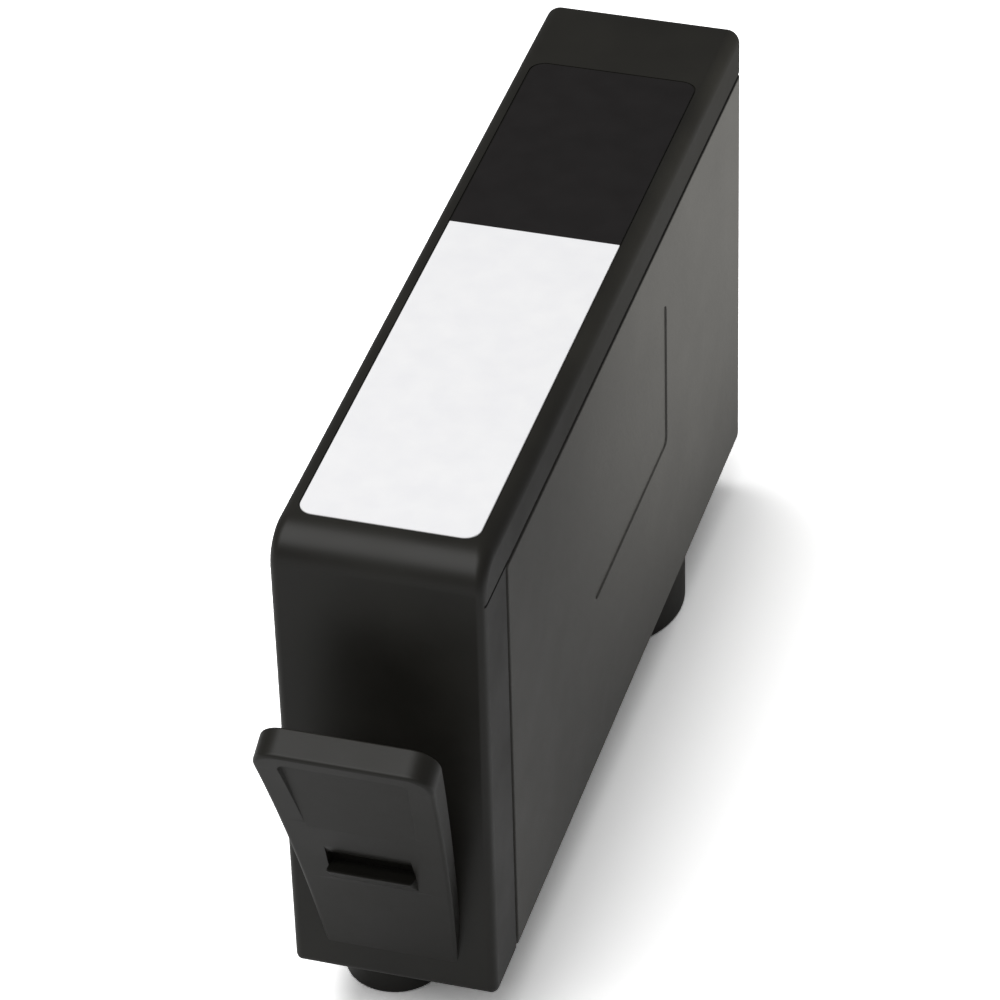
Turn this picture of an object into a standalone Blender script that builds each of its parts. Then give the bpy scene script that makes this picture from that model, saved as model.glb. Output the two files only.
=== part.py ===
"""Inkjet ink cartridge of the kind that clips into a moving carriage.

A moulded tank, open on its right side, is closed by a welded cover. It stands on the ring round its ink
outlet and on a small boss under its front. A springy latch leans out from the foot of the front face.

Metres, +Z up, +Y towards the rear, +X towards the cover. The origin is the middle of the bounding box's
bottom. Lengths below that start at the body are measured back from its front face and up from its bottom.
"""

import math

import bmesh
import bpy
from mathutils import Vector

MM = 0.001

# Body
BODY_WIDTH = 18.7 * MM
BODY_LENGTH = 86.0 * MM
BODY_HEIGHT = 47.0 * MM
LEFT_DRAFT = 0.3 * MM
WALL = 1.5 * MM
REAR_WALL = 3.2 * MM
FRONT_ROLL = 2.0 * MM
TOP_ROLL = 1.0 * MM
REAR_ROLL = 1.2 * MM
BOTTOM_ROLL = 0.5 * MM
TOP_FRONT_CORNER = 3.3 * MM
TOP_REAR_CORNER = 1.4 * MM
BOTTOM_CORNER = 0.8 * MM
SMALLEST_CORNER = 0.1 * MM
CORNER_STEPS = 7
SMALL_CORNER_STEPS = 3
ROLL_STEPS = 4

# Side cover and the rebate that it sits in
COVER_THICKNESS = 1.4 * MM
COVER_TOP_STRIP = 4.5 * MM
COVER_FRONT_STRIP = 6.3 * MM
COVER_LAND = 1.1 * MM
COVER_CORNER = 0.6 * MM
SEAM_GAP = 0.25 * MM
SEAT_GAP = 0.25 * MM
LIP_HEIGHT = 1.2 * MM
LIP_WALL = 1.0 * MM
PANEL_FRONT = 33.1 * MM
PANEL_LENGTH = 25.0 * MM
PANEL_BOTTOM = 18.4 * MM
PANEL_HEIGHT = 15.8 * MM
PANEL_DEPTH = 0.4 * MM
PANEL_CORNER = 0.8 * MM

# Chambers
PARTITION_FRONT = 31.0 * MM
CHAMBER_CORNER = 1.2 * MM
LINK_SLOT_HEIGHT = 2.5 * MM
CEILING_RIB = 1.0 * MM
CEILING_RIB_COUNT = 4
CEILING_RIB_PITCH = 3.6 * MM
CORE_SLOT_FRONT = 3.9 * MM
CORE_SLOT_DEPTH = 2.0 * MM
CORE_SLOT_LEFT = 2.4 * MM
CORE_SLOT_WIDTH = 4.6 * MM
CORE_SLOT_ROOF = 6.0 * MM
CORE_SLOT_CORNER = 0.5 * MM

# Ink outlet under the rear chamber
OUTLET_FROM_REAR = 21.5 * MM
OUTLET_DROP = 6.0 * MM
OUTLET_RADIUS = 9.0 * MM
OUTLET_RING_WALL = 1.4 * MM
NOZZLE_RADIUS = 5.6 * MM
NOZZLE_BORE = 4.3 * MM
NOZZLE_RECESS = 1.2 * MM
COLLAR_HEIGHT = 0.8 * MM
RIM_ROUND = 0.4 * MM
FILTER_THICKNESS = 0.25 * MM
FILTER_MARGIN = 0.5 * MM
FIT = 0.25 * MM

# Boss under the front, with the filling hole
BOSS_X = -2.65 * MM
BOSS_Y = 8.8 * MM
BOSS_RADIUS = 4.5 * MM
BOSS_WALL = 1.1 * MM
BOSS_CUP_DEPTH = 3.8 * MM
FILL_BEHIND_BOSS = 1.75 * MM
FILL_BORE = 1.3 * MM
FILL_COLLAR = 0.5 * MM
FILL_RIM = 0.4 * MM
PLUG_CLEARANCE = 0.1 * MM
BALL_STEPS = 8

# Label, vent film and vent labyrinth in the top face
LABEL_FRONT = 3.45 * MM
LABEL_FROM_REAR = 10.85 * MM
LABEL_WIDTH = 15.7 * MM
LABEL_THICKNESS = 0.15 * MM
LABEL_CORNER = 1.4 * MM
LABEL_CLEARANCE = 0.12 * MM
FILM_MARGIN = 0.8 * MM
FILM_THICKNESS = 0.1 * MM
THIN_GAP = 0.03 * MM
CHANNEL_WIDTH = 0.9 * MM
CHANNEL_DEPTH = 0.7 * MM
CHANNEL_PITCH = 2.2 * MM
CHANNEL_LANES = 5
CHANNEL_FROM_REAR = 24.0 * MM
VENT_HOLE = 0.35 * MM

# Chip on the rear face
CHIP_Z = 11.0 * MM
BOARD_WIDTH = 12.4 * MM
BOARD_HEIGHT = 8.4 * MM
BOARD_THICKNESS = 0.8 * MM
BOARD_CORNER = 0.4 * MM
CHIP_RECESS = 1.5 * MM
CONTACT_COUNT = 4
CONTACT_WIDTH = 1.4 * MM
CONTACT_HEIGHT = 5.6 * MM
CONTACT_PITCH = 2.0 * MM
CONTACT_THICKNESS = 0.1 * MM
CONTACT_CORNER = 0.23 * MM
GLOB_RADIUS = 2.2 * MM
GLOB_HEIGHT = 0.8 * MM
STAKE_X = 5.1 * MM
STAKE_RADIUS = 0.45 * MM
STAKE_HEAD_RADIUS = 0.8 * MM
STAKE_HEAD_HEIGHT = 0.35 * MM
STAKE_BURIED = 0.4 * MM

# Release latch: a plate, slightly curved, measured along its front face from its foot
LATCH_FOOT_Z = 4.0 * MM
LATCH_STANDOFF = 0.53 * MM
LATCH_LENGTH = 30.7 * MM
LATCH_LEAN = math.radians(16.4)
LATCH_BEND_RADIUS = 200.0 * MM
LATCH_FOOT_WIDTH = 12.05 * MM
LATCH_TOP_WIDTH = 15.45 * MM
LATCH_FOOT_THICKNESS = 1.34 * MM
LATCH_TOP_THICKNESS = 2.4 * MM
LATCH_CORNER = 2.4 * MM
LATCH_RIM = 1.8 * MM
LATCH_PANEL_DEPTH = 0.5 * MM
LATCH_PANEL_FOOT = 18.5 * MM
LATCH_BEND_STEPS = 9
FOOT_ROUND_ANGLES = (20, 45, 70, 90)
MERGE_DISTANCE = 0.0001 * MM
HINGE_UP = 3.4 * MM
HINGE_CLEARANCE = 0.3 * MM
CATCH_UP = 11.8 * MM
CATCH_WIDTH = 7.3 * MM
CATCH_REACH = 1.3 * MM
CATCH_RUN = 5.5 * MM
CATCH_FLANK = 0.7 * MM
SCOOP_RADIUS = 3.2 * MM
SCOOP_DEPTH = 0.7 * MM
SCOOP_START = 255
SCOOP_STEPS = 8

ROUND_STEPS = 48
SMALL_ROUND_STEPS = 20
OVERRUN = 4.0 * MM
SMOOTH_ANGLE = math.radians(35)


def latch_front(along):
    """Reach ahead of the body, height above its bottom and lean of the latch's front, at a length up it."""
    turned = along / LATCH_BEND_RADIUS
    lean = LATCH_LEAN + turned
    reach = LATCH_STANDOFF + LATCH_BEND_RADIUS * (math.cos(LATCH_LEAN) - math.cos(lean))
    height = LATCH_FOOT_Z + LATCH_BEND_RADIUS * (math.sin(lean) - math.sin(LATCH_LEAN))
    return reach, height, lean


def latch_thickness(along):
    """Thickness of the latch at a length up it."""
    share = along / LATCH_LENGTH
    return LATCH_FOOT_THICKNESS + (LATCH_TOP_THICKNESS - LATCH_FOOT_THICKNESS) * share


def latch_width(along):
    """Width of the latch at a length up it."""
    share = along / LATCH_LENGTH
    return LATCH_FOOT_WIDTH + (LATCH_TOP_WIDTH - LATCH_FOOT_WIDTH) * share


LATCH_REACH = latch_front(LATCH_LENGTH)[0]
BASE_Z = OUTLET_DROP
TOP_Z = BASE_Z + BODY_HEIGHT
FRONT_Y = (LATCH_REACH - BODY_LENGTH) / 2
REAR_Y = FRONT_Y + BODY_LENGTH
SIDE_X = BODY_WIDTH / 2
COVER_INNER_X = SIDE_X - COVER_THICKNESS
LANDING_X = COVER_INNER_X - SEAT_GAP
CHAMBER_LEFT_X = -SIDE_X + WALL
CHAMBER_FLOOR_Z = BASE_Z + WALL
CHAMBER_ROOF_Z = TOP_Z - COVER_TOP_STRIP - COVER_LAND
OUTLET_CENTRE_Y = REAR_Y - OUTLET_FROM_REAR
BOSS_CENTRE_Y = FRONT_Y + BOSS_Y
FILL_Y = BOSS_CENTRE_Y + FILL_BEHIND_BOSS
FRONT_CHAMBER = (FRONT_Y + COVER_FRONT_STRIP + COVER_LAND, FRONT_Y + PARTITION_FRONT)
REAR_CHAMBER = (FRONT_Y + PARTITION_FRONT + WALL, REAR_Y - REAR_WALL)
LABEL_RECESS = LABEL_THICKNESS + THIN_GAP
FILM_RECESS = FILM_THICKNESS + THIN_GAP


def material(name, colour, roughness, metallic=0.0):
    """A Principled material from a linear colour."""
    made = bpy.data.materials.new(name)
    made.use_nodes = True
    shader = made.node_tree.nodes["Principled BSDF"]
    shader.inputs["Base Color"].default_value = (*colour, 1.0)
    shader.inputs["Roughness"].default_value = roughness
    shader.inputs["Metallic"].default_value = metallic
    made.diffuse_color = (*colour, 1.0)
    return made


def add_mesh(name, bm, finish=None):
    """A new object from a bmesh, with its faces turned outwards and its round faces shaded smooth."""
    bmesh.ops.recalc_face_normals(bm, faces=bm.faces)
    mesh = bpy.data.meshes.new(name)
    bm.to_mesh(mesh)
    bm.free()
    mesh.shade_smooth()
    mesh.set_sharp_from_angle(angle=SMOOTH_ANGLE)
    if finish:
        mesh.materials.append(finish)
    made = bpy.data.objects.new(name, mesh)
    bpy.context.scene.collection.objects.link(made)
    return made


def as_tool(tool):
    """Marks an object as a cutter or a piece to be joined, which isn't a part of its own."""
    tool.hide_render = True
    tool.display_type = "WIRE"
    return tool


def combine(target, tool, operation):
    """Adds one exact Boolean to the target."""
    modifier = target.modifiers.new(f"{operation.lower()} {tool.name}", "BOOLEAN")
    modifier.solver = "EXACT"
    modifier.operation = operation
    modifier.object = as_tool(tool)


def cut(target, tool):
    """Takes the tool's volume out of the target."""
    combine(target, tool, "DIFFERENCE")


def join(target, tool):
    """Adds the tool's volume to the target."""
    combine(target, tool, "UNION")


def prism(name, outline, plane, low, high, finish=None):
    """An outline of (first, second) points in the YZ, XZ or XY plane, extruded from low to high."""
    bm = bmesh.new()
    place = {
        "YZ": lambda a, b: (low, a, b),
        "XZ": lambda a, b: (a, low, b),
        "XY": lambda a, b: (a, b, low),
    }[plane]
    step = {"YZ": (high - low, 0, 0), "XZ": (0, high - low, 0), "XY": (0, 0, high - low)}[plane]
    face = bm.faces.new([bm.verts.new(place(a, b)) for a, b in outline])
    moved = bmesh.ops.extrude_face_region(bm, geom=[face])["geom"]
    bmesh.ops.translate(bm, vec=step, verts=[v for v in moved if isinstance(v, bmesh.types.BMVert)])
    return add_mesh(name, bm, finish)


def arc(centre, radius, start, end, steps):
    """Points of an arc, in degrees, both ends included."""
    points = []
    for step in range(steps + 1):
        angle = math.radians(start + (end - start) * step / steps)
        points.append((centre[0] + radius * math.cos(angle), centre[1] + radius * math.sin(angle)))
    return points


def rounded_rectangle(low, high, radii, steps=CORNER_STEPS):
    """A rectangle with round corners, anticlockwise from the low first, low second corner."""
    (a0, b0), (a1, b1) = low, high
    centres = [
        (a0 + radii[0], b0 + radii[0], 180),
        (a1 - radii[1], b0 + radii[1], 270),
        (a1 - radii[2], b1 - radii[2], 0),
        (a0 + radii[3], b1 - radii[3], 90),
    ]
    outline = []
    for radius, (a, b, start) in zip(radii, centres):
        outline += arc((a, b), radius, start, start + 90, steps)
    return outline


def turned(name, profile, x, y, steps, finish=None):
    """A closed profile of (radius, z) points, turned about a vertical line. A radius of 0 is on the line."""
    bm = bmesh.new()
    turns = [2 * math.pi * step / steps for step in range(steps)]
    rings = []
    for radius, z in profile:
        around = turns if radius > 0 else turns[:1]
        rings.append([bm.verts.new((x + radius * math.cos(a), y + radius * math.sin(a), z)) for a in around])
    for first, second in zip(rings, rings[1:] + rings[:1]):
        for step in range(steps):
            after = (step + 1) % steps
            around = ((first, step), (first, after), (second, after), (second, step))
            corners = [ring[at % len(ring)] for ring, at in around]
            corners = list(dict.fromkeys(corners))
            if len(corners) > 2:
                bm.faces.new(corners)
    return add_mesh(name, bm, finish)


def rod(name, radius, x, y, low, high, steps, finish=None):
    """A plain upright cylinder."""
    return turned(name, [(0, low), (radius, low), (radius, high), (0, high)], x, y, steps, finish)


def rolled_block(name, finish=None):
    """The body's outer form: a side outline whose edges roll over to the left and right faces."""
    rolls = (FRONT_ROLL, BOTTOM_ROLL, REAR_ROLL, TOP_ROLL)
    corners = (BOTTOM_CORNER, BOTTOM_CORNER, TOP_REAR_CORNER, TOP_FRONT_CORNER)

    def station(angle, side):
        front, bottom, rear, top = (roll * (1 - math.sin(angle)) for roll in rolls)
        insets = ((front, bottom), (bottom, rear), (rear, top), (top, front))
        radii = [max(r - min(pair), SMALLEST_CORNER) for r, pair in zip(corners, insets)]
        outline = rounded_rectangle(
            (FRONT_Y + front, BASE_Z + bottom), (REAR_Y - rear, TOP_Z - top), radii
        )
        loop = []
        for index, (y, z) in enumerate(outline):
            corner, step = divmod(index, CORNER_STEPS + 1)
            share = step / CORNER_STEPS
            roll = rolls[corner] * (1 - share) + rolls[(corner + 1) % 4] * share
            x = side * (SIDE_X - roll * (1 - math.cos(angle)))
            if side < 0:
                x += LEFT_DRAFT * (TOP_Z - z) / BODY_HEIGHT
            loop.append((x, y, z))
        return loop

    angles = [math.pi / 2 * step / ROLL_STEPS for step in range(ROLL_STEPS + 1)]
    bm = bmesh.new()
    loops = [[bm.verts.new(point) for point in station(angle, -1)] for angle in angles]
    loops += [[bm.verts.new(point) for point in station(angle, 1)] for angle in reversed(angles)]
    for first, second in zip(loops, loops[1:]):
        for i in range(len(first)):
            j = (i + 1) % len(first)
            bm.faces.new((first[i], first[j], second[j], second[i]))
    bm.faces.new(loops[0])
    bm.faces.new(loops[-1])
    return add_mesh(name, bm, finish)


def cover_outline(grow, bottom):
    """The cover's region in the side view, grown on its top and front edges, open past the rear."""
    return rounded_rectangle(
        (FRONT_Y + COVER_FRONT_STRIP - grow, bottom),
        (REAR_Y + OVERRUN, TOP_Z - COVER_TOP_STRIP + grow),
        (SMALLEST_CORNER, SMALLEST_CORNER, SMALLEST_CORNER, COVER_CORNER + grow),
    )


def chamber_outline(chamber, inset):
    """A chamber's opening in the side view, made smaller all round by the inset."""
    radii = [max(CHAMBER_CORNER - inset, SMALLEST_CORNER)] * 4
    return rounded_rectangle(
        (chamber[0] + inset, CHAMBER_FLOOR_Z + inset),
        (chamber[1] - inset, CHAMBER_ROOF_Z - inset),
        radii,
    )


def band(path, width):
    """The outline of a strip of even width along a path that turns at right angles."""
    left, right = [], []
    for index, point in enumerate(path):
        before = path[max(index - 1, 0)]
        after = path[min(index + 1, len(path) - 1)]
        arrive = Vector((point[0] - before[0], point[1] - before[1])).normalized()
        leave = Vector((after[0] - point[0], after[1] - point[1])).normalized()
        if index == 0:
            arrive = leave
        if index == len(path) - 1:
            leave = arrive
        normal = Vector((-arrive.y, arrive.x)) + Vector((-leave.y, leave.x))
        normal /= max(normal.dot(Vector((-arrive.y, arrive.x))), 0.5)
        left.append((point[0] + normal.x * width / 2, point[1] + normal.y * width / 2))
        right.append((point[0] - normal.x * width / 2, point[1] - normal.y * width / 2))
    return left + right[::-1]


def core_slot_middle():
    """The middle of the coring slot in the front block, where the vent comes out."""
    return CORE_SLOT_LEFT + CORE_SLOT_WIDTH / 2, FRONT_Y + CORE_SLOT_FRONT + CORE_SLOT_DEPTH / 2


def vent_path():
    """The labyrinth's centre line in the top face, from the rear chamber's hole to the coring slot's."""
    exit_x, exit_y = core_slot_middle()
    first_x = exit_x - (CHANNEL_LANES - 1) * CHANNEL_PITCH
    front = exit_y + CHANNEL_PITCH
    rear = REAR_Y - CHANNEL_FROM_REAR
    path = []
    for lane in range(CHANNEL_LANES):
        x = first_x + lane * CHANNEL_PITCH
        ends = (rear, front) if lane % 2 == 0 else (front, rear)
        path += [(x, ends[0]), (x, ends[1])]
    path[-1] = (exit_x, exit_y)
    return path


def add_chambers(tank):
    """The cover's rebate, the two chambers, the slot that links them and the ribs on the rear one's roof."""
    rebate = cover_outline(0, BASE_Z - SEAM_GAP)
    cut(tank, prism("cover_rebate_cut", rebate, "YZ", LANDING_X, SIDE_X + OVERRUN))
    for name, chamber in (("front", FRONT_CHAMBER), ("rear", REAR_CHAMBER)):
        outline = chamber_outline(chamber, 0)
        cut(tank, prism(f"{name}_chamber_cut", outline, "YZ", CHAMBER_LEFT_X, SIDE_X + OVERRUN))
    slot = rounded_rectangle(
        (FRONT_CHAMBER[1] - OVERRUN, CHAMBER_FLOOR_Z),
        (REAR_CHAMBER[0] + OVERRUN, CHAMBER_FLOOR_Z + LINK_SLOT_HEIGHT),
        (SMALLEST_CORNER,) * 4,
    )
    cut(tank, prism("link_slot_cut", slot, "YZ", CHAMBER_LEFT_X, SIDE_X + OVERRUN))
    for index in range(CEILING_RIB_COUNT):
        x = (index - (CEILING_RIB_COUNT - 1) / 2) * CEILING_RIB_PITCH
        rib = [
            (x - CEILING_RIB / 2, CHAMBER_ROOF_Z - CEILING_RIB),
            (x + CEILING_RIB / 2, CHAMBER_ROOF_Z - CEILING_RIB),
            (x + CEILING_RIB / 2, CHAMBER_ROOF_Z + CEILING_RIB / 2),
            (x - CEILING_RIB / 2, CHAMBER_ROOF_Z + CEILING_RIB / 2),
        ]
        low = REAR_CHAMBER[0] + CHAMBER_CORNER
        high = REAR_CHAMBER[1] - CHAMBER_CORNER
        join(tank, prism(f"roof_rib_{index + 1}", rib, "XZ", low, high))


def add_outlet_ring(tank):
    """The ring that the cartridge stands on, round the outlet."""
    y = OUTLET_CENTRE_Y
    inner = OUTLET_RADIUS - OUTLET_RING_WALL
    buried = BASE_Z + WALL / 2
    ring = [(inner, buried), (inner, RIM_ROUND)]
    ring += arc((inner + RIM_ROUND, RIM_ROUND), RIM_ROUND, 180, 270, SMALL_CORNER_STEPS)
    ring += arc((OUTLET_RADIUS - RIM_ROUND, RIM_ROUND), RIM_ROUND, 270, 360, SMALL_CORNER_STEPS)
    ring += [(OUTLET_RADIUS, buried)]
    join(tank, turned("outlet_ring", ring, 0, y, ROUND_STEPS))


def add_nozzle(tank):
    """The nozzle inside the ring, which goes on through the floor as a collar in the chamber."""
    y = OUTLET_CENTRE_Y
    within_wall = (NOZZLE_RADIUS + NOZZLE_BORE) / 2
    cut(tank, rod("nozzle_hole_cut", within_wall, 0, y, -OVERRUN, CHAMBER_FLOOR_Z + OVERRUN, ROUND_STEPS))
    collar_top = CHAMBER_FLOOR_Z + COLLAR_HEIGHT
    nozzle = [
        (NOZZLE_BORE, NOZZLE_RECESS),
        (NOZZLE_RADIUS, NOZZLE_RECESS),
        (NOZZLE_RADIUS, collar_top),
        (NOZZLE_BORE, collar_top),
    ]
    join(tank, turned("outlet_nozzle", nozzle, 0, y, ROUND_STEPS))


def add_boss(tank):
    """The cup-shaped boss under the front, with the filling hole in its floor."""
    inner = BOSS_RADIUS - BOSS_WALL
    buried = BASE_Z + WALL / 2
    cup = [(0, buried), (0, BOSS_CUP_DEPTH), (inner, BOSS_CUP_DEPTH), (inner, RIM_ROUND)]
    cup += arc((inner + RIM_ROUND, RIM_ROUND), RIM_ROUND, 180, 270, SMALL_CORNER_STEPS)
    cup += arc((BOSS_RADIUS - RIM_ROUND, RIM_ROUND), RIM_ROUND, 270, 360, SMALL_CORNER_STEPS)
    cup += [(BOSS_RADIUS, buried)]
    join(tank, turned("front_boss", cup, BOSS_X, BOSS_CENTRE_Y, ROUND_STEPS))
    within_wall = FILL_BORE + FILL_COLLAR / 2
    top = CHAMBER_FLOOR_Z + OVERRUN
    cut(tank, rod("fill_hole_cut", within_wall, BOSS_X, FILL_Y, -OVERRUN, top, ROUND_STEPS))
    collar = [
        (FILL_BORE, BOSS_CUP_DEPTH - FILL_RIM),
        (FILL_BORE + FILL_COLLAR, BOSS_CUP_DEPTH - FILL_RIM),
        (FILL_BORE + FILL_COLLAR, CHAMBER_FLOOR_Z + FILL_RIM),
        (FILL_BORE, CHAMBER_FLOOR_Z + FILL_RIM),
    ]
    join(tank, turned("fill_collar", collar, BOSS_X, FILL_Y, ROUND_STEPS))


def add_top(tank):
    """The label's recess, the vent labyrinth under it, its two holes and the coring slot below."""
    label_low, label_high = label_corners(-LABEL_CLEARANCE)
    outline = rounded_rectangle(label_low, label_high, (LABEL_CORNER + LABEL_CLEARANCE,) * 4)
    cut(tank, prism("label_recess_cut", outline, "XY", TOP_Z - LABEL_RECESS, TOP_Z + OVERRUN))
    film_low, film_high = label_corners(FILM_MARGIN - LABEL_CLEARANCE)
    film = rounded_rectangle(film_low, film_high, (LABEL_CORNER,) * 4)
    film_floor = TOP_Z - LABEL_RECESS - FILM_RECESS
    cut(tank, prism("film_recess_cut", film, "XY", film_floor, TOP_Z + OVERRUN))
    channel_floor = film_floor - CHANNEL_DEPTH
    path = vent_path()
    channel = band(path, CHANNEL_WIDTH)
    cut(tank, prism("vent_channel_cut", channel, "XY", channel_floor, TOP_Z + OVERRUN))
    x, y = core_slot_middle()
    slot_low = (x - CORE_SLOT_WIDTH / 2, y - CORE_SLOT_DEPTH / 2)
    slot_high = (x + CORE_SLOT_WIDTH / 2, y + CORE_SLOT_DEPTH / 2)
    slot = rounded_rectangle(slot_low, slot_high, (CORE_SLOT_CORNER,) * 4, SMALL_CORNER_STEPS)
    slot_top = TOP_Z - CORE_SLOT_ROOF
    cut(tank, prism("core_slot_cut", slot, "XY", BASE_Z - OVERRUN, slot_top))
    inwards = CHANNEL_WIDTH / 2
    holes = (
        ("chamber", path[0][0], path[0][1] - inwards, CHAMBER_ROOF_Z - WALL / 2),
        ("slot", path[-1][0], path[-1][1] + inwards, slot_top - WALL / 2),
    )
    for name, hole_x, hole_y, low in holes:
        cut(tank, rod(f"vent_{name}_hole_cut", VENT_HOLE, hole_x, hole_y, low, TOP_Z, SMALL_ROUND_STEPS))


def add_latch_root(tank):
    """The root that the latch grows from, with the round seat that its flexing line lies in."""
    reach, height, lean = latch_front(HINGE_UP)
    front_foot = -LATCH_STANDOFF / math.sin(LATCH_LEAN)
    foot = FRONT_Y, BASE_Z + LATCH_FOOT_Z + front_foot * math.cos(LATCH_LEAN)
    outline = [
        (foot[0] + WALL, foot[1]),
        foot,
        (FRONT_Y - reach, BASE_Z + height),
        (FRONT_Y + WALL, BASE_Z + height),
    ]
    low = -LATCH_FOOT_WIDTH / 2
    join(tank, prism("latch_root", outline, "YZ", low, -low))
    seat_radius = hinge_radius() + HINGE_CLEARANCE
    seat = rod("latch_seat_cut", seat_radius, 0, 0, low * 2, -low * 2, SMALL_ROUND_STEPS)
    seat.rotation_euler = (0, math.pi / 2, 0)
    seat.location = hinge_centre()
    cut(tank, seat)


def add_chip_seat(tank):
    """The recess for the chip's board, the pocket for its glob and the two stakes that hold it."""
    z = BASE_Z + CHIP_Z
    half = (BOARD_WIDTH / 2 + FIT, BOARD_HEIGHT / 2 + FIT)
    radii = (BOARD_CORNER + FIT,) * 4
    outline = rounded_rectangle((-half[0], z - half[1]), (half[0], z + half[1]), radii, SMALL_CORNER_STEPS)
    floor = REAR_Y - CHIP_RECESS
    cut(tank, prism("chip_seat_cut", outline, "XZ", floor, REAR_Y + OVERRUN))
    pocket = rod("glob_pocket_cut", GLOB_RADIUS + FIT, 0, 0, -GLOB_HEIGHT, OVERRUN, SMALL_ROUND_STEPS)
    pocket.rotation_euler = (-math.pi / 2, 0, 0)
    pocket.location = (0, floor, z)
    cut(tank, pocket)
    board_top = THIN_GAP + BOARD_THICKNESS
    head_start = board_top + THIN_GAP
    head_top = head_start + STAKE_HEAD_HEIGHT
    profile = [(0, -STAKE_BURIED), (STAKE_RADIUS, -STAKE_BURIED), (STAKE_RADIUS, head_start)]
    profile += [(STAKE_HEAD_RADIUS, head_start), (STAKE_RADIUS, head_top), (0, head_top)]
    for name, x in (("left", -STAKE_X), ("right", STAKE_X)):
        stake = turned(f"chip_stake_{name}", profile, 0, 0, SMALL_ROUND_STEPS)
        stake.rotation_euler = (-math.pi / 2, 0, 0)
        stake.location = (x, floor, z)
        join(tank, stake)


def label_corners(inset):
    """The label's low and high corners in the top view, made smaller all round by the inset."""
    low = (-LABEL_WIDTH / 2 + inset, FRONT_Y + LABEL_FRONT + inset)
    high = (LABEL_WIDTH / 2 - inset, REAR_Y - LABEL_FROM_REAR - inset)
    return low, high


def build_tank(finish):
    """The moulded tank."""
    tank = rolled_block("tank_body", finish)
    add_outlet_ring(tank)
    add_chambers(tank)
    add_nozzle(tank)
    add_boss(tank)
    add_top(tank)
    add_latch_root(tank)
    add_chip_seat(tank)
    return tank


def build_cover(finish):
    """The side cover: the body's outer form within the cover's region, with a lip into each chamber."""
    cover = rolled_block("side_cover", finish)
    region = cover_outline(-SEAM_GAP, BASE_Z - OVERRUN)
    combine(cover, prism("cover_region", region, "YZ", COVER_INNER_X, SIDE_X + OVERRUN), "INTERSECT")
    for name, chamber in (("front", FRONT_CHAMBER), ("rear", REAR_CHAMBER)):
        outer = chamber_outline(chamber, FIT)
        inner = chamber_outline(chamber, FIT + LIP_WALL)
        low = COVER_INNER_X - LIP_HEIGHT
        lip = prism(f"{name}_lip", outer, "YZ", low, COVER_INNER_X + COVER_THICKNESS / 2)
        cut(lip, prism(f"{name}_lip_cut", inner, "YZ", low - OVERRUN, COVER_INNER_X))
        join(cover, lip)
    panel = rounded_rectangle(
        (FRONT_Y + PANEL_FRONT, BASE_Z + PANEL_BOTTOM),
        (FRONT_Y + PANEL_FRONT + PANEL_LENGTH, BASE_Z + PANEL_BOTTOM + PANEL_HEIGHT),
        (PANEL_CORNER,) * 4,
    )
    cut(cover, prism("panel_cut", panel, "YZ", SIDE_X - PANEL_DEPTH, SIDE_X + OVERRUN))
    return cover


def hinge_radius():
    """Half the latch's thickness at its flexing line."""
    return latch_thickness(HINGE_UP) / 2


def hinge_centre():
    """The middle of the flexing line, halfway through the latch's thickness."""
    reach, height, lean = latch_front(HINGE_UP)
    y = FRONT_Y - reach + hinge_radius() * math.cos(lean)
    z = BASE_Z + height + hinge_radius() * math.sin(lean)
    return Vector((0, y, z))


def flat_latch():
    """The latch laid flat: x across, y up its length, z out of its front face, which is z = 0."""
    foot = HINGE_UP - hinge_radius()
    foot_half = latch_width(foot) / 2
    top_half = latch_width(LATCH_LENGTH) / 2
    slant = math.degrees(math.atan2(top_half - foot_half, LATCH_LENGTH - foot))
    top = LATCH_LENGTH - LATCH_CORNER
    corner_x = top_half - LATCH_CORNER
    outline = [(-foot_half, foot), (foot_half, foot)]
    outline += arc((corner_x, top), LATCH_CORNER, -slant, 90, CORNER_STEPS)
    outline += arc((-corner_x, top), LATCH_CORNER, 90, 180 + slant, CORNER_STEPS)
    plate = prism("flat_plate", outline, "XY", -LATCH_TOP_THICKNESS, 0)

    panel_half = top_half - LATCH_RIM
    panel_top = LATCH_LENGTH - LATCH_RIM
    cut(plate, prism("flat_panel_cut", panel_side(panel_top), "YZ", -panel_half, panel_half))

    middle = (CATCH_UP + SCOOP_DEPTH, SCOOP_RADIUS - SCOOP_DEPTH)
    scoop = arc(middle, SCOOP_RADIUS, SCOOP_START, 360, SCOOP_STEPS)
    scoop = [(CATCH_UP, SCOOP_RADIUS), (CATCH_UP, scoop[0][1])] + scoop[1:] + [(scoop[-1][0], SCOOP_RADIUS)]
    cut(plate, prism("flat_scoop_cut", scoop, "YZ", -CATCH_WIDTH / 2, CATCH_WIDTH / 2))
    join(plate, catch_tooth())
    return plate


def catch_tooth():
    """The catch's wedge: a square ledge that faces up, and a face that runs out towards the foot."""
    base = CATCH_WIDTH / 2
    tip = base - CATCH_FLANK
    corners = [
        (base, CATCH_UP, -SCOOP_DEPTH),
        (tip, CATCH_UP, CATCH_REACH),
        (base, CATCH_UP - CATCH_RUN, -SCOOP_DEPTH),
    ]
    bm = bmesh.new()
    for x, y, z in corners:
        bm.verts.new((x, y, z))
        bm.verts.new((-x, y, z))
    bmesh.ops.convex_hull(bm, input=bm.verts)
    return add_mesh("flat_tooth", bm)


def panel_side(panel_top):
    """The side view of the latch's sunk panel, deepest at the top and running out towards the foot."""
    return [
        (LATCH_PANEL_FOOT, 0),
        (panel_top, -LATCH_PANEL_DEPTH),
        (panel_top + LATCH_PANEL_DEPTH, LATCH_PANEL_DEPTH),
        (LATCH_PANEL_FOOT, LATCH_PANEL_DEPTH),
    ]


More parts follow.
